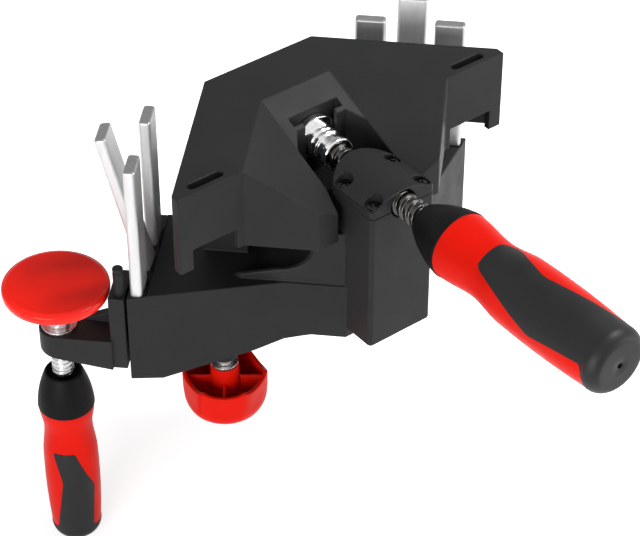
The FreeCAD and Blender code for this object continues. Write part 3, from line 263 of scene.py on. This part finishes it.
# The pad's red is a lighter copy of the red plastic: painted light, as the pad is the same red as the
# handles.
PAD_RED_PAINTED_LIGHTER = moulded("red plastic painted lighter", (0.97, 0.012, 0.003), roughness=0.3, texture=1.2,
                  height=0.003, variation=0.02, Specular_IOR_Level=0.1, Coat_Weight=0.35,
                  Coat_Roughness=0.12)


def paint(obj, material):
    """Give an object one material."""
    obj.data.materials.clear()
    obj.data.materials.append(material)
    return obj


for part in frame["record"]["subparts"]:
    paint(nodes[part["node"]], PAINT[part["material_slot"]])


# Pieces made from vertices and faces. A turned piece ends in one point under this radius.

CLOSED_END = 1e-6


def mesh_object(name, verts, faces, slot, body, sharp, material=None):
    """New piece from vertices in millimetres and faces, riding on a body. Edges over an angle stay sharp."""
    data = bpy.data.meshes.new(name)
    data.from_pydata([tuple(v * MM for v in p) for p in verts], [], faces)
    data.validate()
    data.shade_smooth()
    data.set_sharp_from_angle(angle=math.radians(sharp))
    obj = link(bpy.data.objects.new(name, data))
    paint(obj, material or PAINT[slot])
    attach(obj, body)
    return obj


def blend_curve(value, low, high):
    """Smooth step from 0 at low to 1 at high."""
    share = min(max((value - low) / (high - low), 0.0), 1.0)
    return share * share * (3 - 2 * share)


def between(points, at):
    """Value of a polyline of (place, value) points."""
    for (a, va), (b, vb) in zip(points, points[1:]):
        if at <= b:
            return va + (vb - va) * max(at - a, 0) / (b - a)
    return points[-1][1]


def softened(points, at, reach):
    """Value of a polyline with its corners rounded over a reach."""
    spots = [between(points, at + reach * (i / 4 - 1)) for i in range(9)]
    return sum(spots) / len(spots)


def filleted(points, steps=5):
    """Polyline whose corners (x, y, radius) become arcs."""
    made = []
    for i, entry in enumerate(points):
        here = Vector(entry[:2])
        radius = entry[2] if len(entry) == 3 else 0
        if not radius or i in (0, len(points) - 1):
            made.append(tuple(here))
            continue
        before, after = Vector(points[i - 1][:2]) - here, Vector(points[i + 1][:2]) - here
        half = before.angle(after) / 2
        run = min(radius / math.tan(half), before.length / 2, after.length / 2)
        start, end = here + before.normalized() * run, here + after.normalized() * run
        for k in range(steps + 1):
            t = k / steps
            made.append(tuple(start * (1 - t) ** 2 + here * 2 * t * (1 - t) + end * t ** 2))
    return made


def grid_faces(rows, columns, closed):
    """Quads of a grid of vertices, closed across its columns where asked."""
    faces = []
    for i in range(rows - 1):
        for j in range(columns if closed else columns - 1):
            k = (j + 1) % columns
            faces.append((i * columns + j, i * columns + k, (i + 1) * columns + k, (i + 1) * columns + j))
    return faces


def end_faces(rows, columns):
    """Flat faces over the first and the last row of a closed grid."""
    return [tuple(range(columns - 1, -1, -1)), tuple(range((rows - 1) * columns, rows * columns))]


class Axis:
    """Frame of a turned piece: along its axis, and round it from a first direction."""

    def __init__(self, origin, along, first):
        self.origin, self.along, self.first = Vector(origin), Vector(along), Vector(first)
        self.second = self.along.cross(self.first)

    def at(self, along, radius, angle):
        """Point at a distance along the axis, a radius and an angle."""
        turn = self.first * math.cos(angle) + self.second * math.sin(angle)
        return self.origin + self.along * along + turn * radius

    def rings(self, rows):
        """Points of rows of (along, radius) places, each spread once round the axis."""
        return [self.at(along, radius, TAU * j / len(row))
                for row in rows for j, (along, radius) in enumerate(row)]


def turned(name, axis, profile, slot, body, around, sharp, material=None):
    """Surface of revolution through (along, radius) points; an end at radius zero is closed."""
    verts, rows = [], []
    for along, radius in profile:
        rows.append(len(verts))
        count = 1 if radius < CLOSED_END else around
        verts += axis.rings([[(along, radius)] * count])
    faces = []
    for i in range(len(profile) - 1):
        a, b = rows[i], rows[i + 1]
        tip_a, tip_b = profile[i][1] < CLOSED_END, profile[i + 1][1] < CLOSED_END
        for j in range(around):
            k = (j + 1) % around
            if tip_a and not tip_b:
                faces.append((a, b + k, b + j))
            elif tip_b and not tip_a:
                faces.append((a + j, a + k, b))
            elif not tip_a:
                faces.append((a + j, a + k, b + k, b + j))
    return mesh_object(name, verts, faces, slot, body, sharp, material)


# Handles: a red core, a soft inlay that stands over it, and a soft collar in front of both

UNDER_COLLAR = 1.5  # how far the core reaches under the collar
CORE_UNDER = 0.02  # how far the core lies under the handle's outline
INLAY_EDGE = (0.0, 0.12, 0.28, 0.5, 0.8)  # rows of vertices near the inlay's edge
INLAY_RAISED, INLAY_SUNK = 0.3, 0.5  # over and under the core, at its middle and at its edge
INLAY_RISE = 0.5  # width of the step between the two
NEAR_ROUNDING, FAR_ROUNDING = 2.0, 3.0  # reach of the corners of its long edges
CAP_JOIN = 1.2  # length over which it widens into the end cap
CAP_STEP_FROM, CAP_STEP_TO = -0.4, 0.3  # where its edge vanishes, from the cap's start
INLAY_WELD = 0.02  # distance under which the two sides become one
HOLE_DEPTH, HOLE_RIM = 4, 0.25  # depth of the cap's hole and of its rounded rim
LIP_OVER = 0.35  # height of the collar's lip over the core
GROOVE_WIDTH = 0.35


class Handle:
    """Shape of one handle and of the inlay round it, by distance from the handle's front end.

    wave: (distance, radius) of its waists and bellies, from the collar to the end cap at cap_at
    swell: height of the belly in front of the end cap
    end_radius, hole: radius of the cap's flat end, and of the hole in it
    near, far: (distance, offset from the middle) of the inlay's two long edges
    front, corner: where the inlay starts, and the radius of its corners there
    """

    def __init__(self, kind, axis, body, wave, cap_at, length, end_radius, hole, swell, near, far, front,
                 corner):
        self.kind, self.axis, self.body = kind, axis, body
        self.wave, self.cap_at, self.length = wave, cap_at, length
        self.end_radius, self.hole, self.swell = end_radius, hole, swell
        self.near, self.far, self.front, self.corner = near, far, front, corner
        self.cap_radius = wave[-1][1]

    def radius(self, at):
        """Radius of the grip at a distance from the front."""
        if at > self.cap_at:
            share = min((at - self.cap_at) / (self.length - self.cap_at), 1.0)
            return self.end_radius + (self.cap_radius - self.end_radius) * math.sqrt(1 - share * share)
        for (a, ra), (b, rb) in zip(self.wave, self.wave[1:]):
            if at <= b:
                share = (at - a) / (b - a)
                if b == self.cap_at:
                    return ra + (rb - ra) * share + self.swell * 4 * share * (1 - share)
                return ra + (rb - ra) * (1 - math.cos(math.pi * share)) / 2
        return self.cap_radius

    def limits(self, at):
        """Where the inlay lies across the handle, at a distance from the front."""
        radius = self.radius(min(at, self.cap_at))
        low = softened(self.near + [(self.cap_at, -radius)], at, NEAR_ROUNDING)
        high = softened(self.far + [(self.cap_at, radius)], at, FAR_ROUNDING)
        into = max(self.corner - (at - self.front), 0)
        narrow = self.corner - math.sqrt(max(self.corner ** 2 - into ** 2, 0))
        widen = blend_curve(at, self.cap_at - CAP_JOIN, self.cap_at)
        low, high = low + narrow, high - narrow
        return (max(low + (-radius - low) * widen, -radius), min(high + (radius - high) * widen, radius))


def hard_grip(handle):
    """Hard red core from under the collar to inside the end cap."""
    steps = 110
    start = handle.wave[0][0] - UNDER_COLLAR
    places = [start + (handle.cap_at - start) * i / steps for i in range(steps + 1)]
    profile = [(start, 0)]
    profile += [(at, handle.radius(max(at, handle.wave[0][0])) - CORE_UNDER) for at in places]
    profile.append((handle.cap_at, 0))
    return turned(f"{handle.kind}_grip_core", handle.axis, profile, "red_plastic", handle.body,
                  around=160, sharp=60)


def soft_inlay(handle):
    """Soft inlay on both sides of the handle, which joins up in the end cap."""
    steps, cap_steps, middle = 120, 14, 24
    edge = list(INLAY_EDGE)
    places = [handle.front + e for e in edge]
    places += [handle.front + 1 + (handle.cap_at - handle.front - 1) * i / steps
               for i in range(1, steps + 1)]
    places += [handle.cap_at + (handle.length - handle.cap_at) * math.sin(math.pi / 2 * i / cap_steps)
               for i in range(1, cap_steps + 1)]
    columns = 2 * len(edge) + middle
    half_turn = [-math.pi / 2 + math.pi * j / (columns - 1) for j in range(columns)]
    verts, faces = [], []
    for side, sign in ((0, -1), (math.pi, 1)):
        start, rows = len(verts), 0
        for at in places:
            base = handle.radius(min(at, handle.length))
            reach = handle.radius(min(at, handle.cap_at))
            angles = [math.asin(max(min(x / reach, 1), -1)) for x in handle.limits(at)]
            span = (angles[1] - angles[0]) * reach
            capped = blend_curve(at, handle.cap_at + CAP_STEP_FROM, handle.cap_at + CAP_STEP_TO)
            fade = 1 - blend_curve(at, handle.cap_at + 1, handle.length)
            inside = span - 2 * edge[-1]
            spots = edge + [edge[-1] + inside * (i + 1) / (middle + 1) for i in range(middle)]
            spots += [span - e for e in reversed(edge)]
            for spot in spots:
                lift = min(blend_curve(min(spot, span - spot), 0, INLAY_RISE),
                           blend_curve(at - handle.front, 0, INLAY_RISE))
                lift = lift + (1 - lift) * capped
                height = (-INLAY_SUNK + (INLAY_RAISED + INLAY_SUNK) * lift) * fade
                angle = angles[0] + spot / reach
                verts.append(handle.axis.at(at, base + height, sign * angle + side))
            rows += 1
        end_rings = [(handle.length, radius) for radius in
                     (handle.end_radius * 0.8, handle.end_radius * 0.5, handle.hole + 0.5)]
        end_rings += [(handle.length - HOLE_RIM, handle.hole), (handle.length - HOLE_DEPTH, handle.hole)]
        for at, radius in end_rings:
            verts += [handle.axis.at(at, radius, sign * angle + side) for angle in half_turn]
            rows += 1
        faces += [tuple(start + v for v in face) for face in grid_faces(rows, columns, False)]
    obj = mesh_object(f"{handle.kind}_grip_inlay", verts, faces, "soft_black", handle.body, 50)
    weld = bmesh.new()
    weld.from_mesh(obj.data)
    bmesh.ops.remove_doubles(weld, verts=weld.verts, dist=INLAY_WELD * MM)
    bmesh.ops.recalc_face_normals(weld, faces=weld.faces)
    weld.to_mesh(obj.data)
    weld.free()
    return obj


def soft_collar(handle, front_radius, rise, sink, grooves):
    """Soft collar with a rounded front, a hollow round the spindle, fine grooves and a lip over the core.

    rise: how far its cone bulges; sink: depth of the hollow; grooves: (distance, depth) of each
    """
    steps = 60
    lip_at, widest = handle.wave[0]
    profile = [(sink, 0), (sink, front_radius - 2.4), (0.8, front_radius - 1.6), (0.1, front_radius - 1.0),
               (0.35, front_radius - 0.4)]
    for i in range(1, steps + 1):
        share = i / steps
        along = 1.0 + (lip_at - 2.0) * share
        radius = front_radius + (widest + LIP_OVER - front_radius) * share + rise * 4 * share * (1 - share)
        for groove, depth in grooves:
            radius -= depth * math.exp(-((along - groove) / GROOVE_WIDTH) ** 2)
        profile.append((along, radius))
    profile += [(lip_at - 0.5, widest + 0.37), (lip_at - 0.1, widest + 0.25), (lip_at + 0.15, widest),
                (lip_at + 0.2, widest - 0.6), (lip_at - 1.0, widest - 1.0), (lip_at - 1.0, 0)]
    # The collar takes the darker soft black, which is partly painted shade.
    return turned(f"{handle.kind}_soft_collar", handle.axis, profile, "soft_black", handle.body,
                  around=128, sharp=50, material=COLLAR_BLACK_AND_SHADE)


MAIN_HANDLE_Y, MAIN_TURN = -34.7, math.radians(37)
SMALL_HANDLE_Z, SMALL_TURN = -31.7, math.radians(38)

main = Handle(
    "main",
    Axis((0, MAIN_HANDLE_Y, SPINDLE_Z), (0, -1, 0), (-math.sin(MAIN_TURN), 0, math.cos(MAIN_TURN))),
    "main_spindle",
    wave=[(27, 18.4), (51.3, 16.3), (74.3, 19.0), (134.5, 17.8)], cap_at=134.5, length=141.6,
    end_radius=12.5, hole=1.6, swell=0.8,
    near=[(53, -4.4), (84.3, -13.2), (97.6, -16.0), (133.4, -11.8)],
    far=[(53, 13.2), (64, 15.5), (87.7, 11.6)], front=53, corner=3.6)
small = Handle(
    "small",
    Axis((*PAD_PLACE, SMALL_HANDLE_Z), (0, 0, -1), (-math.sin(SMALL_TURN), -math.cos(SMALL_TURN), 0)),
    "pad_spindle",
    wave=[(24, 15.3), (39, 13.45), (60, 15.2), (112, 13.8)], cap_at=112, length=119,
    end_radius=9.5, hole=1.3, swell=0.7,
    near=[(50.5, -8.6), (72, -4.2), (111.5, -9.8)],
    far=[(49, 4.0), (77.5, 13.0), (111.5, 10.8)], front=50.5, corner=2.2)
for handle, front_radius, rise, sink, grooves, hidden in (
        (main, 9.6, 1.4, 2.0, ((19.5, 0.22), (22.0, 0.12)), "main"),
        (small, 10.6, 1.0, 4.5, ((17.5, 0.12),), "small")):
    collar = soft_collar(handle, front_radius, rise, sink, grooves)
    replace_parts(collar, f"{hidden}_collar")
    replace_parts(hard_grip(handle), f"{hidden}_grip")
    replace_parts(soft_inlay(handle), f"{hidden}_inlay")


# Spindles and the thrust head

MAIN_AXIS = Axis((0, 0, SPINDLE_Z), (0, 1, 0), (0, 0, 1))
PAD_AXIS = Axis((*PAD_PLACE, 0), (0, 0, 1), (1, 0, 0))
THREAD_SIDES = 72
THREAD_STEPS = 24  # rows in one pitch
THREAD_FADE = 1.0  # length over which a thread runs out at its ends
THREAD_SHARP = 80
BALL = [(16.0, 3.0), (17.6, 3.0), (18.0, 3.1), (19.4, 4.0), (21.2, 4.4), (23.0, 4.0), (24.4, 3.1),
        (25.4, 1.2)]


def thread(name, axis, low, high, major, minor, pitch, foot, crest, ends, slot, body):
    """Right handed screw thread from low to high, then plain (along, radius) ends.

    foot, crest: where the ridge starts and where it is full, as shares of the way from root to crest
    """
    count = int((high - low) / (pitch / THREAD_STEPS))
    rows = []
    for i in range(count + 1):
        along = low + (high - low) * i / count
        fade = max(min(1.0, (along - low) / THREAD_FADE, (high - along) / THREAD_FADE), 0)
        row = []
        for j in range(THREAD_SIDES):
            phase = (along / pitch - j / THREAD_SIDES) % 1.0
            rise = blend_curve(abs(phase - 0.5) * 2, foot, crest)
            row.append((along, minor + (major - minor) * rise * fade))
        rows.append(row)
    rows += [[place] * THREAD_SIDES for place in ends]
    faces = grid_faces(len(rows), THREAD_SIDES, True) + end_faces(len(rows), THREAD_SIDES)
    return mesh_object(name, axis.rings(rows), faces, slot, body, THREAD_SHARP)


main_thread = thread("main_spindle_thread", MAIN_AXIS, -36.0, 37.4, major=7.0, minor=5.55, pitch=5.0,
                     foot=0.24, crest=0.7, ends=[(38.0, 4.6), (57.0, 4.6)], slot="black_steel",
                     body="main_spindle")
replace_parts(main_thread, "main_spindle")
pad_thread = thread("pad_spindle_thread", PAD_AXIS, -33.0, 15.6, major=5.9, minor=5.0, pitch=3.0,
                    foot=0.08, crest=0.5, ends=BALL, slot="zinc_steel", body="pad_spindle")
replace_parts(pad_thread, "pad_spindle")

HEAD_FRONT = 35.5
HEAD_RADIUS, NECK_RADIUS, GROOVE_RADIUS = 9.6, 8.2, 8.6
FLANGE_FRONT, FLANGE_BACK, FLANGE_RADIUS = 53.9, 58.2, 13.5

head_profile = filleted([
    (HEAD_FRONT + 1.6, 0), (HEAD_FRONT + 1.6, 7.0, 0.3), (HEAD_FRONT + 0.2, 7.7, 0.3),
    (HEAD_FRONT, 9.1, 0.5), (HEAD_FRONT + 0.6, HEAD_RADIUS, 0.4), (HEAD_FRONT + 3.6, HEAD_RADIUS, 0.6),
    (HEAD_FRONT + 4.3, NECK_RADIUS, 0.6), (HEAD_FRONT + 8.6, NECK_RADIUS, 0.6),
    (HEAD_FRONT + 9.2, HEAD_RADIUS, 0.5), (HEAD_FRONT + 11.2, HEAD_RADIUS, 0.5),
    (HEAD_FRONT + 11.8, GROOVE_RADIUS, 0.4), (HEAD_FRONT + 12.7, GROOVE_RADIUS, 0.4),
    (HEAD_FRONT + 13.3, 9.5, 0.5), (FLANGE_FRONT, 9.5), (FLANGE_FRONT, 13.2, 0.3),
    (54.2, FLANGE_RADIUS, 0.3), (FLANGE_BACK, FLANGE_RADIUS, 0.3), (FLANGE_BACK, 0)])
head = turned("thrust_head_turned", MAIN_AXIS, head_profile, "bright_steel", "main_spindle",
              around=128, sharp=50)
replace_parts(head, "thrust_head")
recess_profile = filleted([
    (HEAD_FRONT + 1.5, 0), (HEAD_FRONT + 0.9, 2.5, 0.4), (HEAD_FRONT + 0.9, 5.0, 0.3),
    (HEAD_FRONT + 1.4, 5.4, 0.2), (HEAD_FRONT + 1.4, 6.6, 0.3), (HEAD_FRONT + 1.7, 6.9)])
turned("thrust_head_recess", MAIN_AXIS, recess_profile, "black_steel", "main_spindle",
       around=96, sharp=40)


# Pressure pad, with the socket of the spindle's ball

pad_face = [(29.4, 0), (29.4, 20), (29.2, 26, 2), (28.2, 28.6, 1.6), (25.8, 28.9, 1.6)]
pad_under = [(23.2, 28.3, 1.2), (22.3, 26.3, 1.0), (22.4, 9.9, 0.8), (19.6, 9.5, 0.8)]
pad_socket = [(18.2, 4.6), (19.4, 5.1), (21.2, 5.2), (23.2, 4.9), (25.2, 3.8), (26.3, 1.8), (26.4, 0)]
# The pad takes the lighter copy of the red plastic: painted light.
disc = turned("pressure_pad_disc", PAD_AXIS, filleted(pad_face + pad_under + pad_socket, steps=7),
              "red_plastic", "pad", around=160, sharp=60, material=PAD_RED_PAINTED_LIGHTER)
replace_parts(disc, "pressure_pad")


# Clamping knob: a cup with six softened flats, a scalloped rim, a hub and cross ribs

KNOB_TURN = math.radians(-8)
KNOB_AXIS = Axis((*KNOB_PLACE, 0), (0, 0, 1), (math.cos(KNOB_TURN), math.sin(KNOB_TURN), 0))
KNOB_RIM, KNOB_LOW, KNOB_WALL = -42.0, -67.6, 2.4  # highest and lowest Z, and wall thickness
KNOB_FLAT, KNOB_CORNER, KNOB_ROUND = 21.8, 23.7, 22.4  # radii at a flat, at a corner and below
KNOB_BLEND = 1.1  # sharpness of the line between flat and corner
KNOB_FOOT = 9.0  # radius of the bend between floor and wall
SCALLOP_RADIUS, SCALLOP_DEPTH = 30.7, 2.7
RIM_DROP, RIM_ROUND = 0.35, 0.7  # how far the rim lies under its line, and height of its rounding
RIB_FOOT, RIB_TURN = -63.6, math.radians(-30)


def off_flat(angle):
    """Angle from the middle of the nearest flat."""
    return (angle + math.pi / 6) % (math.pi / 3) - math.pi / 6


def knob_radius(angle, inset=0.0):
    """Radius of the knob's wall: a hexagon with rounded corners."""
    flat = (KNOB_FLAT - inset) / math.cos(off_flat(angle))
    corner = KNOB_CORNER - inset
    return -math.log(math.exp(-flat * KNOB_BLEND) + math.exp(-corner * KNOB_BLEND)) / KNOB_BLEND


def knob_rim(angle):
    """Height of the rim, lower in the middle of each flat."""
    across = KNOB_FLAT * math.tan(off_flat(angle))
    scallop = SCALLOP_RADIUS - math.sqrt(SCALLOP_RADIUS ** 2 - across ** 2)
    return KNOB_RIM - SCALLOP_DEPTH + scallop - RIM_DROP


def knob_bowl(inset, share, angle):
    """(height, radius) of the bowl at a share of the way from its middle, below, to the rim."""
    wall = knob_radius(angle, inset)
    upper = 1 - blend_curve(share, 0.45, 0.85)
    full = wall + (KNOB_ROUND - inset - wall) * upper
    low = KNOB_LOW + inset
    bend = KNOB_FOOT - inset
    flat, arc = full - bend, bend * math.pi / 2
    rest = max(knob_rim(angle) - RIM_ROUND - low - bend, 0.1)
    way = share * (flat + arc + rest)
    if way < flat:
        return low, way
    if way < flat + arc:
        turned_by = (way - flat) / bend
        return low + bend * (1 - math.cos(turned_by)), flat + bend * math.sin(turned_by)
    return low + bend + way - flat - arc, full


def knob_cup():
    """Outside, rim and inside of the cup as one skin."""
    around, steps, rim_steps = 192, 30, 8
    angles = [TAU * j / around for j in range(around)]
    rows = [[knob_bowl(0, i / steps, angle) for angle in angles] for i in range(1, steps + 1)]
    for i in range(1, rim_steps):
        part = math.pi * i / rim_steps
        row = []
        for angle in angles:
            outer, inner = knob_radius(angle), knob_radius(angle, KNOB_WALL)
            middle, half = (outer + inner) / 2, (outer - inner) / 2
            row.append((knob_rim(angle) - RIM_ROUND + RIM_ROUND * math.sin(part),
                        middle + half * math.cos(part)))
        rows.append(row)
    rows += [[knob_bowl(KNOB_WALL, i / steps, angle) for angle in angles] for i in range(steps, 0, -1)]
    faces = grid_faces(len(rows), around, True) + end_faces(len(rows), around)
    return mesh_object("knob_cup_skin", KNOB_AXIS.rings(rows), faces, "red_plastic", "knob", 50)


def knob_cross():
    """Two ribs, thinner at the top, with rounded upper edges, whose feet follow the cup's bend."""
    outline = [(-1.0, RIB_FOOT), (-0.85, -46.6), (-0.5, -46.1), (0, -45.95), (0.5, -46.1), (0.85, -46.6),
               (1.0, RIB_FOOT)]
    reaches = [5.0, 12.0, 20.3]
    verts, faces = [], []
    for quarter in range(4):
        angle = RIB_TURN + math.pi / 2 * quarter
        start = len(verts)
        for reach in reaches:
            lift = max((reach - 11.7) / 9.6, 0) ** 2 * 4
            for offset, height in outline:
                if height == RIB_FOOT:
                    height += lift
                verts.append(KNOB_AXIS.at(height, math.hypot(reach, offset),
                                          angle + math.atan2(offset, reach)))
        faces += [tuple(start + v for v in face)
                  for face in grid_faces(len(reaches), len(outline), False)]
    return mesh_object("knob_cross_ribs", verts, faces, "red_plastic", "knob", 45)


cup = knob_cup()
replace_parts(cup, "clamp_knob")
knob_cross()
hub_profile = filleted([(-63.9, 8.6), (-52.0, 8.1), (-37.4, 7.8, 0.5), (-37.2, 7.0), (-37.3, 6.42),
                        (-38.5, 6.42)])
turned("knob_hub_sleeve", KNOB_AXIS, hub_profile, "red_plastic", "knob", around=96, sharp=50)


# Cover screws: pan heads with a cross recess

SCREW_PLACES = ((15.7, -12.3), (15.7, 11.4), (-15.7, -12.3), (-15.7, 11.4))
SCREW_Z = 86.6
SCREW_TOP, SCREW_SIDE = 3.4, 3.5  # radii of the top and of the side
SCREW_HEIGHT, SCREW_SHOULDER, SCREW_DOME = 2.4, 1.7, 0.35
CROSS_HALF, CROSS_REACH, CROSS_HUB = 0.5, 2.3, 0.9  # half width, half length and half of its middle
CROSS_DEPTH, CROSS_RISE = 1.3, 0.4


def screw_head(x, y, turn_by):
    """Vertices and faces of a pan head whose cross is pressed into the grid of its top."""
    rings, around = 26, 96
    axis = Axis((x, y, SCREW_Z), (0, 0, 1), (math.cos(turn_by), math.sin(turn_by), 0))
    rows = []
    for i in range(rings + 1):
        radius = SCREW_TOP * i / rings
        dome = SCREW_HEIGHT - SCREW_DOME * (radius / SCREW_TOP) ** 2
        row = []
        for j in range(around):
            angle = TAU * j / around
            across = sorted((abs(radius * math.cos(angle)), abs(radius * math.sin(angle))))
            in_cross = across[0] < CROSS_HALF and across[1] < CROSS_REACH or across[1] < CROSS_HUB
            depth = CROSS_DEPTH - CROSS_RISE * radius / CROSS_REACH if in_cross else 0
            row.append((dome - depth, radius))
        rows.append(row)
    rows += [[(height, SCREW_SIDE)] * around for height in (SCREW_SHOULDER, 0.0)]
    return axis.rings(rows), grid_faces(len(rows), around, True)


def screw_heads():
    """All the cover's screws as one piece, each turned a little further."""
    verts, faces = [], []
    for i, (x, y) in enumerate(SCREW_PLACES):
        some_verts, some_faces = screw_head(x, y, 0.4 + i * 0.9)
        faces += [tuple(len(verts) + v for v in face) for face in some_faces]
        verts += some_verts
    return mesh_object("cover_screw_heads", verts, faces, "black_steel", "base", 35)


screws = screw_heads()
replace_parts(screws, "cover_screws")


# CAD nodes that stay: their edges are rounded. Width, angle and clamp are those of soften.

WELD_WITHIN, FLAT_WITHIN = 0.002, 0.6
REPLACED = {"main_collar", "main_grip", "main_inlay", "small_collar", "small_grip", "small_inlay",
            "main_spindle", "pad_spindle", "thrust_head", "pressure_pad", "clamp_knob", "cover_screws"}
MOULDED_EDGES = (("wedge_body", 0.7, 6, False), ("base_frame", 0.8, 20, False),
                 ("spindle_cover", 0.8, 50, False), ("support_arm", 0.8, 25, True))
PIN_EDGE, SMALL_EDGE = 1.3, 0.2


def soften(obj, width, segments=3, angle=25, clamp=True):
    """Merge a CAD mesh's flat faces and round its edges over an angle, by modifiers alone."""
    weld = obj.modifiers.new("weld", "WELD")
    weld.merge_threshold = WELD_WITHIN * MM
    flat = obj.modifiers.new("flat faces", "DECIMATE")
    flat.decimate_type = "DISSOLVE"
    flat.angle_limit = math.radians(FLAT_WITHIN)
    round_off = obj.modifiers.new("edges", "BEVEL")
    round_off.width = width * MM
    round_off.segments = segments
    round_off.limit_method = "ANGLE"
    round_off.angle_limit = math.radians(angle)
    round_off.harden_normals = True
    round_off.use_clamp_overlap = clamp
    obj.data.shade_smooth()
    normals = obj.modifiers.new("normals", "WEIGHTED_NORMAL")
    normals.keep_sharp = True
    normals.weight = 60


for name, width, angle, clamp in MOULDED_EDGES:
    soften(nodes[name], width, angle=angle, clamp=clamp)
for name, node in nodes.items():
    if name.endswith("_pin") and name != "head_pin":
        paint(node, PIN_METAL)
        soften(node, PIN_EDGE, segments=5, angle=50)
    elif name not in REPLACED and not node.modifiers:
        soften(node, SMALL_EDGE, segments=2)


# Floor

FLOOR_Z = -153.6
FLOOR_HALF = 6000
FLOOR_GREY = 0.93
CAMERA_GLOW, GLOSS_GLOW = 0.62, 0.35


def floor_material():
    """Pale matt floor that takes the object's shadow and looks white to the camera."""
    made = bpy.data.materials.new("pale floor")
    made.use_nodes = True
    tree = made.node_tree
    shader = tree.nodes["Principled BSDF"]
    shader.inputs["Base Color"].default_value = (FLOOR_GREY, FLOOR_GREY, FLOOR_GREY, 1)
    shader.inputs["Roughness"].default_value = 0.9
    shader.inputs["Specular IOR Level"].default_value = 0.0
    glow = tree.nodes.new("ShaderNodeEmission")
    both = tree.nodes.new("ShaderNodeAddShader")
    rays = tree.nodes.new("ShaderNodeLightPath").outputs
    strength = math_node(tree, "MAXIMUM",
                         math_node(tree, "MULTIPLY", rays["Is Camera Ray"], CAMERA_GLOW),
                         math_node(tree, "MULTIPLY", rays["Is Glossy Ray"], GLOSS_GLOW))
    tree.links.new(strength, glow.inputs["Strength"])
    tree.links.new(shader.outputs[0], both.inputs[0])
    tree.links.new(glow.outputs[0], both.inputs[1])
    tree.links.new(both.outputs[0], tree.nodes["Material Output"].inputs["Surface"])
    return made


floor_data = bpy.data.meshes.new("floor")
corners = ((-1, -1), (1, -1), (1, 1), (-1, 1))
floor_data.from_pydata([tuple(mm(x * FLOOR_HALF, y * FLOOR_HALF, FLOOR_Z)) for x, y in corners], [],
                       [(0, 1, 2, 3)])
floor = link(bpy.data.objects.new("floor", floor_data))
paint(floor, floor_material())


# World: even light, white to the camera; gloss sees a white room with a darker wall high behind

SURROUNDINGS = 0.3
BACK_WALL = 0.3
WALL_TOWARDS = (0.6, 0.8)
WALL_HEIGHTS = (0.25, 0.5)
WALL_SIDES = (0.2, 0.55)


def light_world():
    """World whose strength depends on the kind of ray and, for gloss, on its direction."""
    world = bpy.data.worlds.new("world")
    scene.world = world
    world.use_nodes = True
    tree = world.node_tree
    background = tree.nodes["Background"]
    background.inputs["Color"].default_value = (1, 1, 1, 1)
    rays = tree.nodes.new("ShaderNodeLightPath").outputs
    split = tree.nodes.new("ShaderNodeSeparateXYZ")
    tree.links.new(tree.nodes.new("ShaderNodeTexCoord").outputs["Generated"], split.inputs[0])
    backwards = math_node(tree, "ADD",
                          math_node(tree, "MULTIPLY", split.outputs["X"], WALL_TOWARDS[0]),
                          math_node(tree, "MULTIPLY", split.outputs["Y"], WALL_TOWARDS[1]))
    wall = math_node(tree, "MULTIPLY", map_range(tree, split.outputs["Z"], *WALL_HEIGHTS, 0.0, 1.0),
                     map_range(tree, backwards, *WALL_SIDES, 0.0, 1.0))
    seen_by_gloss = map_range(tree, wall, 0.0, 1.0, 1.0, BACK_WALL)
    glossy = math_node(tree, "MULTIPLY", rays["Is Glossy Ray"], seen_by_gloss)
    plain = math_node(tree, "SUBTRACT", 1.0, rays["Is Glossy Ray"])
    plain = math_node(tree, "MULTIPLY", plain, SURROUNDINGS)
    lit = math_node(tree, "ADD", plain, glossy)
    seen = math_node(tree, "MAXIMUM", lit, rays["Is Camera Ray"])
    tree.links.new(seen, background.inputs["Strength"])


light_world()


# Lamps: soft boxes, each with its place, width in metres and power in watts

LIT_PLACE = (0, 40, 40)
LAMPS = (("left", (-1400, -700, 250), 0.9, 18),
         ("right", (1100, -1200, 200), 0.9, 10),
         ("high", (717, -257, 1324), 0.5, 20))

for name, at, width, power in LAMPS:
    lamp = bpy.data.lights.new(name, "AREA")
    lamp.shape = "RECTANGLE"
    lamp.size = lamp.size_y = width
    lamp.energy = power
    aim(link(bpy.data.objects.new(name, lamp)), mm(*at), mm(*LIT_PLACE))
